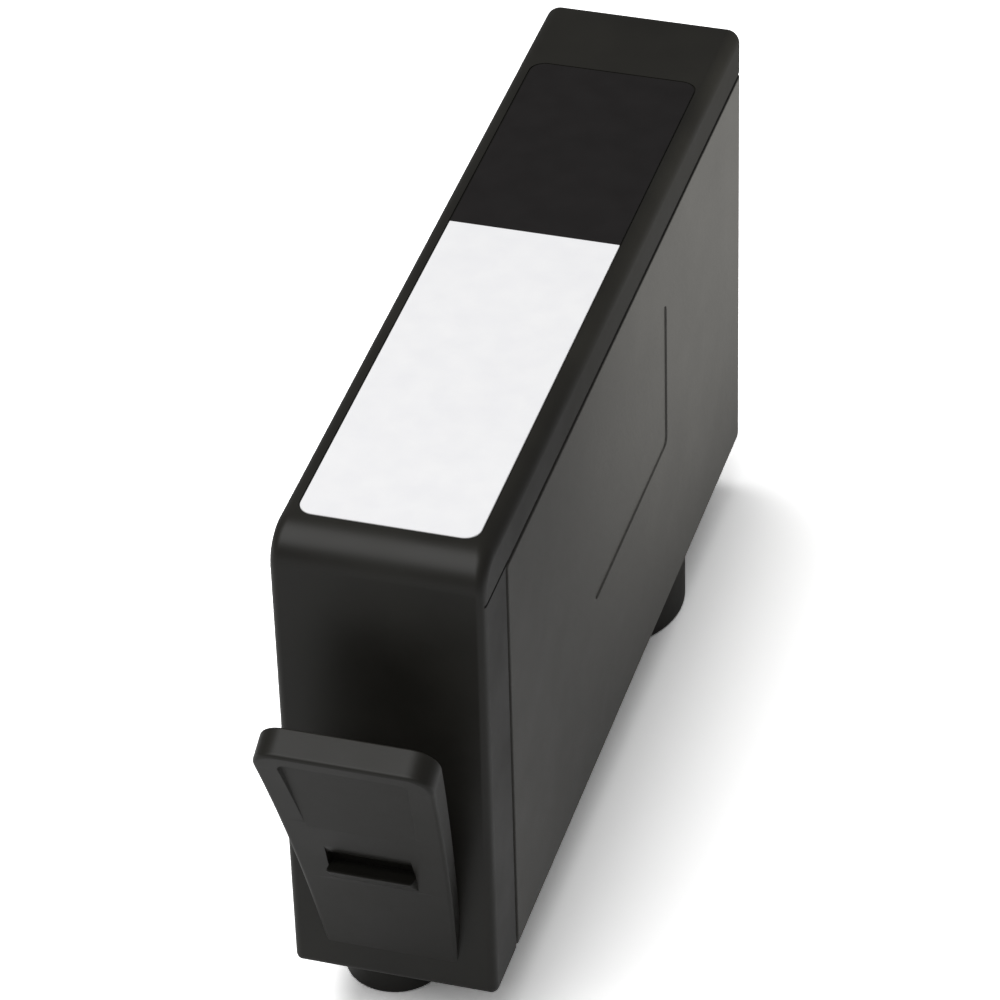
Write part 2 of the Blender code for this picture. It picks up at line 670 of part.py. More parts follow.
def bend_latch(point):
    """Moves a point of the flat latch to its place on the curved, leaning one."""
    x, along, out = point
    radius = hinge_radius()
    thickness = latch_thickness(max(along, HINGE_UP))
    behind = max(HINGE_UP - along, 0.0)
    round_depth = radius - math.sqrt(max(radius**2 - min(behind, radius) ** 2, 0.0))
    if behind > 0:
        share = -out / LATCH_TOP_THICKNESS
        depth = -(round_depth + share * (thickness - 2 * round_depth))
    elif out <= 0:
        depth = out / LATCH_TOP_THICKNESS * thickness
    else:
        depth = out
    reach, height, lean = latch_front(along)
    y = FRONT_Y - reach - depth * math.cos(lean)
    z = BASE_Z + height - depth * math.sin(lean)
    return Vector((x, y, z))


def build_latch(finish, pivot):
    """The latch plate, bent to its curve, its foot rounded about the flexing line that it turns on."""
    flat = flat_latch()
    bm = bmesh.new()
    bm.from_object(flat, bpy.context.evaluated_depsgraph_get())
    cuts = [HINGE_UP - hinge_radius() * math.cos(math.radians(angle)) for angle in FOOT_ROUND_ANGLES]
    span = LATCH_LENGTH - HINGE_UP
    cuts += [HINGE_UP + span * step / LATCH_BEND_STEPS for step in range(1, LATCH_BEND_STEPS)]
    for along in cuts:
        geometry = bm.verts[:] + bm.edges[:] + bm.faces[:]
        point = (0, along, 0)
        bmesh.ops.bisect_plane(bm, geom=geometry, dist=MERGE_DISTANCE, plane_co=point, plane_no=(0, 1, 0))
    bmesh.ops.triangulate(bm, faces=bm.faces)
    for vert in bm.verts:
        vert.co = bend_latch(vert.co) - pivot.location
    bmesh.ops.remove_doubles(bm, verts=bm.verts, dist=MERGE_DISTANCE)
    bmesh.ops.dissolve_degenerate(bm, dist=MERGE_DISTANCE, edges=bm.edges)
    latch = add_mesh("release_latch", bm, finish)
    latch.parent = pivot
    for helper in [flat] + [m.object for m in flat.modifiers]:
        bpy.data.objects.remove(helper)
    return latch


def build_label(finish):
    """The label, in its recess."""
    low, high = label_corners(0)
    outline = rounded_rectangle(low, high, (LABEL_CORNER,) * 4)
    top = TOP_Z - LABEL_RECESS + THIN_GAP + LABEL_THICKNESS
    return prism("top_label", outline, "XY", top - LABEL_THICKNESS, top, finish)


def build_film(finish):
    """The film that seals the vent labyrinth, under the label."""
    low, high = label_corners(FILM_MARGIN)
    outline = rounded_rectangle(low, high, (LABEL_CORNER,) * 4)
    floor = TOP_Z - LABEL_RECESS - FILM_RECESS + THIN_GAP / 2
    return prism("vent_seal_film", outline, "XY", floor, floor + FILM_THICKNESS, finish)


def build_absorber(finish):
    """The foam block that fills the rear chamber, pressed over the outlet's collar."""
    outline = chamber_outline(REAR_CHAMBER, FIT)
    low_roof = CHAMBER_ROOF_Z - CEILING_RIB - FIT
    outline = [(y, min(z, low_roof)) for y, z in outline]
    low = CHAMBER_LEFT_X + FIT
    high = COVER_INNER_X - LIP_HEIGHT - FIT
    block = prism("ink_absorber", outline, "YZ", low, high, finish)
    top = CHAMBER_FLOOR_Z + COLLAR_HEIGHT + FIT
    seat = rod("collar_cut", NOZZLE_RADIUS + FIT, 0, OUTLET_CENTRE_Y, -OVERRUN, top, ROUND_STEPS)
    cut(block, seat)
    return block


def build_wick(finish):
    """The felt plug in the nozzle's bore, between the foam and the filter."""
    bottom = NOZZLE_RECESS + FIT
    top = CHAMBER_FLOOR_Z + COLLAR_HEIGHT
    radius = NOZZLE_BORE - FIT
    return rod("outlet_wick", radius, 0, OUTLET_CENTRE_Y, bottom, top, ROUND_STEPS, finish)


def build_filter(finish):
    """The mesh disc on the nozzle's end."""
    top = NOZZLE_RECESS - THIN_GAP
    radius = NOZZLE_RADIUS - FILTER_MARGIN
    low = top - FILTER_THICKNESS
    return rod("outlet_filter", radius, 0, OUTLET_CENTRE_Y, low, top, ROUND_STEPS, finish)


def build_plug(finish):
    """The ball pressed into the filling hole."""
    radius = FILL_BORE - PLUG_CLEARANCE
    middle = (BOSS_CUP_DEPTH + CHAMBER_FLOOR_Z) / 2
    profile = [(radius * math.sin(a), middle - radius * math.cos(a)) for a in half_turn(BALL_STEPS)]
    profile[0] = (0, profile[0][1])
    profile[-1] = (0, profile[-1][1])
    return turned("fill_plug", profile, BOSS_X, FILL_Y, SMALL_ROUND_STEPS, finish)


def half_turn(steps):
    """Angles from 0 to half a turn."""
    return [math.pi * step / steps for step in range(steps + 1)]


def build_chip(board_finish, contact_finish, glob_finish):
    """The chip's board, its contact pads and the glob over its die."""
    z = BASE_Z + CHIP_Z
    inner = REAR_Y - CHIP_RECESS + THIN_GAP
    outer = inner + BOARD_THICKNESS
    half = (BOARD_WIDTH / 2, BOARD_HEIGHT / 2)
    radii = (BOARD_CORNER,) * 4
    outline = rounded_rectangle((-half[0], z - half[1]), (half[0], z + half[1]), radii, SMALL_CORNER_STEPS)
    board = prism("chip_board", outline, "XZ", inner, outer, board_finish)
    hole_radius = STAKE_RADIUS + FIT / 2
    for name, x in (("left", -STAKE_X), ("right", STAKE_X)):
        hole = rod(f"stake_hole_{name}_cut", hole_radius, 0, 0, -OVERRUN, OVERRUN, SMALL_ROUND_STEPS)
        hole.rotation_euler = (math.pi / 2, 0, 0)
        hole.location = (x, outer, z)
        cut(board, hole)
    for index in range(CONTACT_COUNT):
        x = (index - (CONTACT_COUNT - 1) / 2) * CONTACT_PITCH
        pad = rounded_rectangle(
            (x - CONTACT_WIDTH / 2, z - CONTACT_HEIGHT / 2),
            (x + CONTACT_WIDTH / 2, z + CONTACT_HEIGHT / 2),
            (CONTACT_CORNER,) * 4,
            SMALL_CORNER_STEPS,
        )
        low = outer + THIN_GAP
        prism(f"chip_contact_{index + 1}", pad, "XZ", low, low + CONTACT_THICKNESS, contact_finish)
    dome = [(0, -THIN_GAP), (GLOB_RADIUS, -THIN_GAP)]
    lower = GLOB_HEIGHT - FIT / 2
    quarter = half_turn(2 * BALL_STEPS)[1 : BALL_STEPS + 1]
    dome += [(GLOB_RADIUS * math.cos(a), -THIN_GAP - lower * math.sin(a)) for a in quarter]
    dome[-1] = (0, dome[-1][1])
    glob = turned("chip_glob", dome, 0, 0, SMALL_ROUND_STEPS, glob_finish)
    glob.rotation_euler = (-math.pi / 2, 0, 0)
    glob.location = (0, inner, z)


def main():
    """Empties the scene and builds every piece."""
    for thing in list(bpy.data.objects):
        bpy.data.objects.remove(thing)

    black_plastic = material("moulded black polypropylene", (0.021, 0.021, 0.019), 0.5)
    cover_plastic = material("moulded grey-black polypropylene", (0.09, 0.09, 0.085), 0.55)
    label_film = material("printed label film", (0.87, 0.87, 0.88), 0.45)
    clear_film = material("heat-sealed film", (0.6, 0.62, 0.62), 0.3)
    foam = material("open-cell foam", (0.03, 0.03, 0.035), 0.95)
    felt = material("bonded felt", (0.05, 0.05, 0.055), 0.95)
    steel = material("woven stainless mesh", (0.45, 0.45, 0.46), 0.35, 1.0)
    elastomer = material("moulded elastomer", (0.02, 0.02, 0.02), 0.6)
    laminate = material("glass-epoxy laminate", (0.01, 0.09, 0.05), 0.4)
    gold = material("gold plating", (0.9, 0.62, 0.25), 0.25, 1.0)
    epoxy = material("black epoxy", (0.01, 0.01, 0.01), 0.3)

    build_tank(black_plastic)
    build_cover(cover_plastic)

    pivot = bpy.data.objects.new("latch_pivot", None)
    pivot.location = hinge_centre()
    bpy.context.scene.collection.objects.link(pivot)
    build_latch(black_plastic, pivot)

    build_label(label_film)
    build_film(clear_film)
    build_absorber(foam)
    build_wick(felt)
    build_filter(steel)
    build_plug(elastomer)
    build_chip(laminate, gold, epoxy)


main()
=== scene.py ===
"""Looks of an inkjet ink cartridge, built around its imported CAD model.

Metres, +Z up, +Y towards the rear, +X towards the side cover, as in the CAD. The tank, its cover, the latch
and the label are modelled again with their rolled edges, seams and fillets. The pieces inside and the chip
keep their CAD solids and get their finishes here.
"""

import logging
import math
from dataclasses import dataclass
from enum import Enum
from typing import Sequence

import bmesh
import bpy
from mathutils import Matrix, Vector


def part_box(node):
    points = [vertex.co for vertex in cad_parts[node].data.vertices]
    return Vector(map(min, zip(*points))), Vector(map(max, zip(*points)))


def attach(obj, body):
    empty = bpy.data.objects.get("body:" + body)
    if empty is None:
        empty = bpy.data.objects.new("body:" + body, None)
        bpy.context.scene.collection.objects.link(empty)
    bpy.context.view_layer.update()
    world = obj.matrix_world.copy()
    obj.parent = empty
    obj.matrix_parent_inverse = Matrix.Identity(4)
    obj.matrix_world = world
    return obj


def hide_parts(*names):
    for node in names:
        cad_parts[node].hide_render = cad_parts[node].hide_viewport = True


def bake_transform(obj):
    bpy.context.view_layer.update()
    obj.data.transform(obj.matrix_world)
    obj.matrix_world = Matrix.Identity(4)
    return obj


MM = 0.001
OVERRUN = 4.0 * MM
TINY_CORNER = 0.1 * MM
SHARP_ANGLE = math.radians(28)
SOFT_ANGLE = math.radians(50)
SOFT_SEGMENTS = 3
# Where the middle row of a two-step round lies, as a share of its radius
ROUND_MIDDLE = 0.3
# Most of Blender's noise lies between these two levels
NOISE_LOW = 0.3
NOISE_HIGH = 0.7

Point = tuple[float, float]
Span = tuple[float, float]
Place = tuple[float, float, float]
Loop = list[Place]

log = logging.getLogger("cartridge")
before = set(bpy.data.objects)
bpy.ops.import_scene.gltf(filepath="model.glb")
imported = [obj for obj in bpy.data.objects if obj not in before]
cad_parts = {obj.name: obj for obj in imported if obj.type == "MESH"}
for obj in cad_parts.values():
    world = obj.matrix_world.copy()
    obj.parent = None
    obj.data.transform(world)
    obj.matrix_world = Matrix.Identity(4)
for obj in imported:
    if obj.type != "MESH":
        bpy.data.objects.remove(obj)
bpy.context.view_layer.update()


# Outlines and meshes


class Plane(Enum):
    """The plane that an outline is drawn in; the third direction is its depth."""

    SIDE = "yz"
    REAR = "xz"
    TOP = "xy"

    def place(self, point: Point, depth: float) -> Place:
        """Gives the place of an outline's point at a depth.

        Args:
            point: First and second coordinate in the plane.
            depth: Coordinate across the plane.

        Returns:
            The point as x, y, z.
        """
        if self is Plane.SIDE:
            return (depth, point[0], point[1])
        if self is Plane.REAR:
            return (point[0], depth, point[1])
        return (point[0], point[1], depth)


def arc(centre: Point, radius: float, start: float, end: float, steps: int) -> list[Point]:
    """Gives the points of an arc, both ends included.

    Args:
        centre: Middle of the arc.
        radius: Its radius.
        start: Start angle in degrees.
        end: End angle in degrees.
        steps: Number of straight pieces.

    Returns:
        The points from start to end.
    """
    points = []
    for step in range(steps + 1):
        angle = math.radians(start + (end - start) * step / steps)
        points.append((centre[0] + radius * math.cos(angle), centre[1] + radius * math.sin(angle)))
    return points


def rounded(corners: Sequence[Point], radii: Sequence[float], steps: int = 8) -> list[Point]:
    """Rounds the corners of a polygon.

    Args:
        corners: The polygon's corners in order.
        radii: Radius at each corner; 0 keeps it sharp.
        steps: Straight pieces in each round.

    Returns:
        The outline with its rounds.
    """
    outline: list[Point] = []
    for index, (corner, radius) in enumerate(zip(corners, radii)):
        here = Vector(corner)
        if radius == 0:
            outline.append((here.x, here.y))
            continue
        arrive = (here - Vector(corners[index - 1])).normalized()
        leave = (Vector(corners[(index + 1) % len(corners)]) - here).normalized()
        turn = math.atan2(arrive.cross(leave), arrive.dot(leave))
        start = here - arrive * radius * math.tan(abs(turn) / 2)
        side = math.copysign(1.0, turn)
        normal = Vector((-arrive.y, arrive.x)) * side
        centre = start + normal * radius
        for step in range(steps + 1):
            spun = Matrix.Rotation(turn * step / steps, 2) @ (-normal * radius)
            outline.append((centre.x + spun.x, centre.y + spun.y))
    return outline


def rounded_rectangle(low: Point, high: Point, radius: float, steps: int = 8) -> list[Point]:
    """Gives a rectangle with equal round corners, anticlockwise from its low corner.

    Args:
        low: Its low corner.
        high: Its high corner.
        radius: Radius of all four corners.
        steps: Straight pieces in each round.

    Returns:
        The outline.
    """
    corners = [low, (high[0], low[1]), high, (low[0], high[1])]
    return rounded(corners, [max(radius, TINY_CORNER)] * 4, steps)


def circle(centre: Point, radius: float, steps: int) -> list[Point]:
    """Gives a circle as evenly spaced points.

    Args:
        centre: Its middle.
        radius: Its radius.
        steps: Number of points.

    Returns:
        The points, anticlockwise.
    """
    return arc(centre, radius, 0, 360 * (steps - 1) / steps, steps - 1)


def add_mesh(name: str, bm: bmesh.types.BMesh) -> bpy.types.Object:
    """Puts a finished bmesh into the scene.

    Args:
        name: Name of the new object.
        bm: The bmesh, which is freed.

    Returns:
        The new object.
    """
    bmesh.ops.recalc_face_normals(bm, faces=bm.faces)
    mesh = bpy.data.meshes.new(name)
    bm.to_mesh(mesh)
    bm.free()
    made = bpy.data.objects.new(name, mesh)
    bpy.context.scene.collection.objects.link(made)
    return made


def loft(name: str, loops: Sequence[Loop], cyclic: bool = False) -> bpy.types.Object:
    """Skins a row of closed loops that have equal numbers of points.

    Args:
        name: Name of the new object.
        loops: The loops in order.
        cyclic: True joins the last loop to the first; otherwise both ends are capped.

    Returns:
        The closed solid.
    """
    bm = bmesh.new()
    rings = [[bm.verts.new(point) for point in loop] for loop in loops]
    pairs = list(zip(rings, rings[1:]))
    if cyclic:
        pairs.append((rings[-1], rings[0]))
    for first, second in pairs:
        for here in range(len(first)):
            after = (here + 1) % len(first)
            bm.faces.new((first[here], first[after], second[after], second[here]))
    if not cyclic:
        bm.faces.new(rings[0])
        bm.faces.new(rings[-1])
    return add_mesh(name, bm)


def prism(name: str, outline: Sequence[Point], plane: Plane, low: float, high: float) -> bpy.types.Object:
    """Extrudes an outline between two depths.

    Args:
        name: Name of the new object.
        outline: Points in the plane.
        plane: The plane that they are drawn in.
        low: Depth of one end.
        high: Depth of the other end.

    Returns:
        The closed solid.
    """
    return loft(name, [[plane.place(point, depth) for point in outline] for depth in (low, high)])


def turned(
    name: str, profile: Sequence[Point], middle: Point, steps: int, cyclic: bool = False
) -> bpy.types.Object:
    """Turns a profile about an upright line.

    Args:
        name: Name of the new object.
        profile: Points as radius and height.
        middle: Place of the line in the top view.
        steps: Number of flats round the form.
        cyclic: True for a tube whose profile is closed.

    Returns:
        The closed solid.
    """
    loops = []
    for radius, height in profile:
        loops.append([(x, y, height) for x, y in circle(middle, radius, steps)])
    return loft(name, loops, cyclic)


def shape(target: bpy.types.Object, operation: str, *tools: bpy.types.Object) -> None:
    """Applies exact Booleans in order and removes their tools.

    Args:
        target: The object that is shaped.
        operation: UNION, DIFFERENCE or INTERSECT.
        tools: The closed solids that shape it.
    """
    for tool in tools:
        step = target.modifiers.new(tool.name, "BOOLEAN")
        step.solver = "EXACT"
        step.operation = operation
        step.object = tool
    shaped = target.evaluated_get(bpy.context.evaluated_depsgraph_get())
    before = target.data
    target.data = bpy.data.meshes.new_from_object(shaped)
    target.modifiers.clear()
    bpy.data.meshes.remove(before)
    for tool in tools:
        bpy.data.objects.remove(tool)


def smooth(piece: bpy.types.Object, angle: float = SHARP_ANGLE) -> None:
    """Shades round faces smooth and keeps flat faces flat, with sharp lines where the surface turns.

    Args:
        piece: The object.
        angle: Smallest turn that stays a sharp line.
    """
    piece.data.shade_smooth()
    piece.data.set_sharp_from_angle(angle=angle)
    weighted = piece.modifiers.new("flat faces stay flat", "WEIGHTED_NORMAL")
    weighted.keep_sharp = True


def soften(piece: bpy.types.Object, width: float) -> None:
    """Rounds a piece's sharp edges.

    Args:
        piece: The object.
        width: Width of the round.
    """
    edge = piece.modifiers.new("soft edges", "BEVEL")
    edge.width = width
    edge.segments = SOFT_SEGMENTS
    edge.limit_method = "ANGLE"
    edge.angle_limit = SOFT_ANGLE
    edge.harden_normals = True


# Finishes


def give(piece: bpy.types.Object, material: bpy.types.Material) -> None:
    """Replaces a piece's materials by one."""
    piece.data.materials.clear()
    piece.data.materials.append(material)


def linear(colour: str) -> tuple[float, float, float, float]:
    """Turns an sRGB hex colour such as "#1F1E1B" into the linear one that shaders use.

    Args:
        colour: The hex colour.

    Returns:
        Linear red, green, blue and an alpha of 1.
    """
    channels = []
    for start in (1, 3, 5):
        value = int(colour[start : start + 2], 16) / 255
        channels.append(value / 12.92 if value <= 0.04045 else ((value + 0.055) / 1.055) ** 2.4)
    return (channels[0], channels[1], channels[2], 1.0)


def add_node(
    tree: bpy.types.NodeTree, kind: str, settings: dict | None = None, links: dict | None = None
) -> bpy.types.Node:
    """Adds one node with its settings and links.

    Args:
        tree: The node tree.
        kind: The node's type name.
        settings: Attributes and socket values, by name or number. Under "stops" are a ramp's places, each
            with its hex colour.
        links: What feeds this node, by its own socket name or number: a socket, or a node's first output.

    Returns:
        The new node.
    """
    made = tree.nodes.new(kind)
    for key, value in (settings or {}).items():
        if key == "stops":
            for element, (position, colour) in zip(made.color_ramp.elements, value):
                element.position = position
                element.color = linear(colour)
        elif isinstance(key, str) and hasattr(made, key):
            setattr(made, key, value)
        else:
            made.inputs[key].default_value = value
    for key, source in (links or {}).items():
        output = source.outputs[0] if isinstance(source, bpy.types.Node) else source
        tree.links.new(output, made.inputs[key])
    return made


@dataclass(frozen=True)
class Finish:
    """A finish: its name, and the values of its Principled shader."""

    name: str
    roughness: float = 0.5
    ior: float = 1.49
    metallic: float = 0.0
    dark: str = "#1D1C19"
    light: str = "#24231F"
    ramp: Span = (NOISE_LOW, NOISE_HIGH)
    rub: float = 0.0

    @property
    def colours(self) -> dict[str, tuple]:
        """Gives settings of a ramp from the dark colour to the light one."""
        return {"stops": ((self.ramp[0], self.dark), (self.ramp[1], self.light))}

    @property
    def varied(self) -> dict[str, float]:
        """Gives settings that map noise onto the roughness, as far either way as the finish is rubbed."""
        ends = {"To Min": self.roughness - self.rub, "To Max": self.roughness + self.rub}
        return {"From Min": NOISE_LOW, "From Max": NOISE_HIGH} | ends

    def make(self) -> bpy.types.Material:
        """Makes the material, with what the finish draws on it.

        Returns:
            The material.
        """
        made = bpy.data.materials.new(self.name)
        made.use_nodes = True
        tree = made.node_tree
        shader = tree.nodes["Principled BSDF"]
        shader.inputs["Roughness"].default_value = self.roughness
        shader.inputs["Metallic"].default_value = self.metallic
        if self.metallic == 0:
            shader.inputs["IOR"].default_value = self.ior
        place = add_node(tree, "ShaderNodeTexCoord").outputs["Object"]
        for socket, source in self.draw(tree, place).items():
            tree.links.new(source.outputs[0], shader.inputs[socket])
        return made

    def draw(self, tree: bpy.types.NodeTree, place: bpy.types.NodeSocket) -> dict[str, bpy.types.Node]:
        """Draws the pattern; a finish of its own kind says how.

        Args:
            tree: The material's node tree.
            place: Coordinates in metres.

        Returns:
            What feeds the shader, by the name of its socket.
        """
        return {}


@dataclass(frozen=True)
class MouldedPlastic(Finish):
    """Injection-moulded plastic: even colour, faint flow mottling and a fine skin from the tool."""

    mottle: float = 9.0 * MM
    # The real skin is finer than this; it is drawn about two pixels of the render wide, so that it shows
    grain: float = 0.16 * MM
    grain_depth: float = 0.0022 * MM
    rub: float = 0.06

    def draw(self, tree: bpy.types.NodeTree, place: bpy.types.NodeSocket) -> dict[str, bpy.types.Node]:
        """Draws the mottling in colour and gloss, and the skin as a bump.

        Args:
            tree: The material's node tree.
            place: Coordinates in metres.

        Returns:
            What feeds the shader, by the name of its socket.
        """
        flow = {"Scale": 1 / self.mottle, "Detail": 4.0}
        mottling = add_node(tree, "ShaderNodeTexNoise", flow, {"Vector": place})
        fine = {"Scale": 1 / self.grain, "Detail": 3.0}
        skin = add_node(tree, "ShaderNodeTexNoise", fine, {"Vector": place})
        return {
            "Base Color": add_node(tree, "ShaderNodeValToRGB", self.colours, {"Fac": mottling}),
            "Roughness": add_node(tree, "ShaderNodeMapRange", self.varied, {"Value": mottling}),
            "Normal": add_node(tree, "ShaderNodeBump", {"Distance": self.grain_depth}, {"Height": skin}),
        }


@dataclass(frozen=True)
class SparkedPlastic(Finish):
    """Plastic from a spark-eroded tool: fine pits all over, drawn as speckle and bump, on black lightened to
    grey as painted sheen.
    """

    # These colours are grey as painted sheen: they stand in for the floor mirrored at a low angle in the
    # black plastic
    dark: str = "#4C4B48"
    light: str = "#5B5A57"
    # About one pixel of the render, the finest that still shows
    pit: float = 0.12 * MM
    pit_depth: float = 0.012 * MM
    mottle: float = 7.0 * MM
    mottle_share: float = 0.25
    rub: float = 0.05

    def draw(self, tree: bpy.types.NodeTree, place: bpy.types.NodeSocket) -> dict[str, bpy.types.Node]:
        """Draws the pits as colour and bump over broad mottling.

        Args:
            tree: The material's node tree.
            place: Coordinates in metres.

        Returns:
            What feeds the shader, by the name of its socket.
        """
        fine = {"Scale": 1 / self.pit, "Detail": 2.0}
        pits = add_node(tree, "ShaderNodeTexNoise", fine, {"Vector": place})
        flow = {"Scale": 1 / self.mottle, "Detail": 3.0}
        broad = add_node(tree, "ShaderNodeTexNoise", flow, {"Vector": place})
        shares = {"data_type": "FLOAT", "Factor": self.mottle_share}
        mixed = add_node(tree, "ShaderNodeMix", shares, {"A": pits, "B": broad})
        return {
            "Base Color": add_node(tree, "ShaderNodeValToRGB", self.colours, {"Fac": mixed}),
            "Roughness": add_node(tree, "ShaderNodeMapRange", self.varied, {"Value": broad}),
            "Normal": add_node(tree, "ShaderNodeBump", {"Distance": self.pit_depth}, {"Height": pits}),
        }


@dataclass(frozen=True)
class PrintedFilm(Finish):
    """Satin plastic label film, printed: even ink with a faint cloudiness and a slight waviness."""

    dark: str = "#EDEDEF"
    light: str = "#F1F1F2"
    cloud: float = 2.5 * MM
    wave: float = 14.0 * MM
    wave_depth: float = 0.01 * MM
    rub: float = 0.015

    def draw(self, tree: bpy.types.NodeTree, place: bpy.types.NodeSocket) -> dict[str, bpy.types.Node]:
        """Draws the ink's cloudiness and the film's waviness.

        Args:
            tree: The material's node tree.
            place: Coordinates in metres.

        Returns:
            What feeds the shader, by the name of its socket.
        """
        ink = {"Scale": 1 / self.cloud, "Detail": 5.0}
        cloud = add_node(tree, "ShaderNodeTexNoise", ink, {"Vector": place})
        slow = {"Scale": 1 / self.wave, "Detail": 0.0}
        waves = add_node(tree, "ShaderNodeTexNoise", slow, {"Vector": place})
        return {
            "Base Color": add_node(tree, "ShaderNodeValToRGB", self.colours, {"Fac": cloud}),
            "Roughness": add_node(tree, "ShaderNodeMapRange", self.varied, {"Value": cloud}),
            "Normal": add_node(tree, "ShaderNodeBump", {"Distance": self.wave_depth}, {"Height": waves}),
        }


@dataclass(frozen=True)
class SealFilm(Finish):
    """Thin film welded over the vent channels: glossy, with the weld's crinkles."""

    dark: str = "#9A9D9C"
    light: str = "#C3C6C4"
    ramp: Span = (0.35, 0.65)
    crinkle: float = 0.9 * MM
    crinkle_depth: float = 0.05 * MM

    def draw(self, tree: bpy.types.NodeTree, place: bpy.types.NodeSocket) -> dict[str, bpy.types.Node]:
        """Draws the crinkles as ridges.

        Args:
            tree: The material's node tree.
            place: Coordinates in metres.

        Returns:
            What feeds the shader, by the name of its socket.
        """
        crinkles = add_node(tree, "ShaderNodeTexNoise", {"Scale": 1 / self.crinkle}, {"Vector": place})
        raised = {"Distance": self.crinkle_depth}
        return {
            "Base Color": add_node(tree, "ShaderNodeValToRGB", self.colours, {"Fac": crinkles}),
            "Normal": add_node(tree, "ShaderNodeBump", raised, {"Height": crinkles}),
        }


@dataclass(frozen=True)
class CellularFoam(Finish):
    """Open-cell foam wet with ink: round cells, sunk and darkened by painted shade in the pores, between
    thin lighter struts.
    """

    dark: str = "#08080A"
    light: str = "#3A3A40"
    ramp: Span = (0.02, 0.16)
    # A foam with about 70 pores to the inch
    cell: float = 0.35 * MM
    cell_depth: float = 0.25 * MM

    def draw(self, tree: bpy.types.NodeTree, place: bpy.types.NodeSocket) -> dict[str, bpy.types.Node]:
        """Draws the cells, sunk between their struts and darkened as painted shade.

        Args:
            tree: The material's node tree.
            place: Coordinates in metres.

        Returns:
            What feeds the shader, by the name of its socket.
        """
        settings = {"feature": "DISTANCE_TO_EDGE", "Scale": 1 / self.cell}
        cells = add_node(tree, "ShaderNodeTexVoronoi", settings, {"Vector": place})
        # The ramp's dark end fills the cells as painted shade in the open pores; the struts keep the lighter
        # colour
        colours = {"stops": ((self.ramp[0], self.light), (self.ramp[1], self.dark))}
        sunk = {"Distance": self.cell_depth, "invert": True}
        return {
            "Base Color": add_node(tree, "ShaderNodeValToRGB", colours, {"Fac": cells}),
            "Normal": add_node(tree, "ShaderNodeBump", sunk, {"Height": cells}),
        }


@dataclass(frozen=True)
class BondedFelt(Finish):
    """Bonded fibres in a rod: streaks along the rod, matt and dark with ink."""

    dark: str = "#15151A"
    light: str = "#45454E"
    # Real fibres are a few hundredths of a millimetre thick; they are drawn coarser, so that they show
    fibre: float = 0.08 * MM
    fibre_depth: float = 0.05 * MM
    squeeze: float = 0.08

    def draw(self, tree: bpy.types.NodeTree, place: bpy.types.NodeSocket) -> dict[str, bpy.types.Node]:
        """Draws the fibres, drawn out along the rod.

        Args:
            tree: The material's node tree.
            place: Coordinates in metres.

        Returns:
            What feeds the shader, by the name of its socket.
        """
        rod = add_node(tree, "ShaderNodeMapping", {"Scale": (1.0, 1.0, self.squeeze)}, {"Vector": place})
        fine = {"Scale": 1 / self.fibre, "Detail": 3.0}
        fibres = add_node(tree, "ShaderNodeTexNoise", fine, {"Vector": rod})
        return {
            "Base Color": add_node(tree, "ShaderNodeValToRGB", self.colours, {"Fac": fibres}),
            "Normal": add_node(tree, "ShaderNodeBump", {"Distance": self.fibre_depth}, {"Height": fibres}),
        }


@dataclass(frozen=True)
class WovenMesh(Finish):
    """Plain-woven stainless wire cloth: bright crossings and dark holes."""

    dark: str = "#1C1D1F"
    light: str = "#B9B9B6"
    ramp: Span = (0.35, 0.75)
    # A real filter cloth is much finer; its wires are drawn this far apart, so that they show
    pitch: float = 0.25 * MM
    wire_depth: float = 0.06 * MM

    def draw(self, tree: bpy.types.NodeTree, place: bpy.types.NodeSocket) -> dict[str, bpy.types.Node]:
        """Draws the wires of both directions over the holes between them.

        Args:
            tree: The material's node tree.
            place: Coordinates in metres.

        Returns:
            What feeds the shader, by the name of its socket.
        """
        # A wave texture repeats every pi / 10 of a unit at scale 1
        scale = math.pi / 10 / self.pitch
        waves = []
        for direction in ("X", "Y"):
            settings = {"bands_direction": direction, "Scale": scale}
            waves.append(add_node(tree, "ShaderNodeTexWave", settings, {"Vector": place}).outputs["Fac"])
        wires = add_node(tree, "ShaderNodeMath", {"operation": "MAXIMUM"}, {0: waves[0], 1: waves[1]})
        return {
            "Base Color": add_node(tree, "ShaderNodeValToRGB", self.colours, {"Fac": wires}),
            "Normal": add_node(tree, "ShaderNodeBump", {"Distance": self.wire_depth}, {"Height": wires}),
        }


@dataclass(frozen=True)
class Laminate(Finish):
    """Glass-epoxy board under solder mask: the glass weave shows faintly through the green."""

    dark: str = "#0C3A26"
    light: str = "#14503A"
    ramp: Span = (0.2, 0.6)
    weave: float = 0.6 * MM
    uneven: float = 0.15
    peel: float = 0.4 * MM
    peel_depth: float = 0.01 * MM

    def draw(self, tree: bpy.types.NodeTree, place: bpy.types.NodeSocket) -> dict[str, bpy.types.Node]:
        """Draws the weave as squares and adds a fine orange peel.

        Args:
            tree: The material's node tree.
            place: Coordinates in metres.

        Returns:
            What feeds the shader, by the name of its socket.
        """
        settings = {"distance": "CHEBYCHEV", "Scale": 1 / self.weave, "Randomness": self.uneven}
        squares = add_node(tree, "ShaderNodeTexVoronoi", settings, {"Vector": place})
        colours = {"stops": ((self.ramp[0], self.light), (self.ramp[1], self.dark))}
        peel = add_node(tree, "ShaderNodeTexNoise", {"Scale": 1 / self.peel}, {"Vector": place})
        return {
            "Base Color": add_node(tree, "ShaderNodeValToRGB", colours, {"Fac": squares}),
            "Normal": add_node(tree, "ShaderNodeBump", {"Distance": self.peel_depth}, {"Height": peel}),
        }


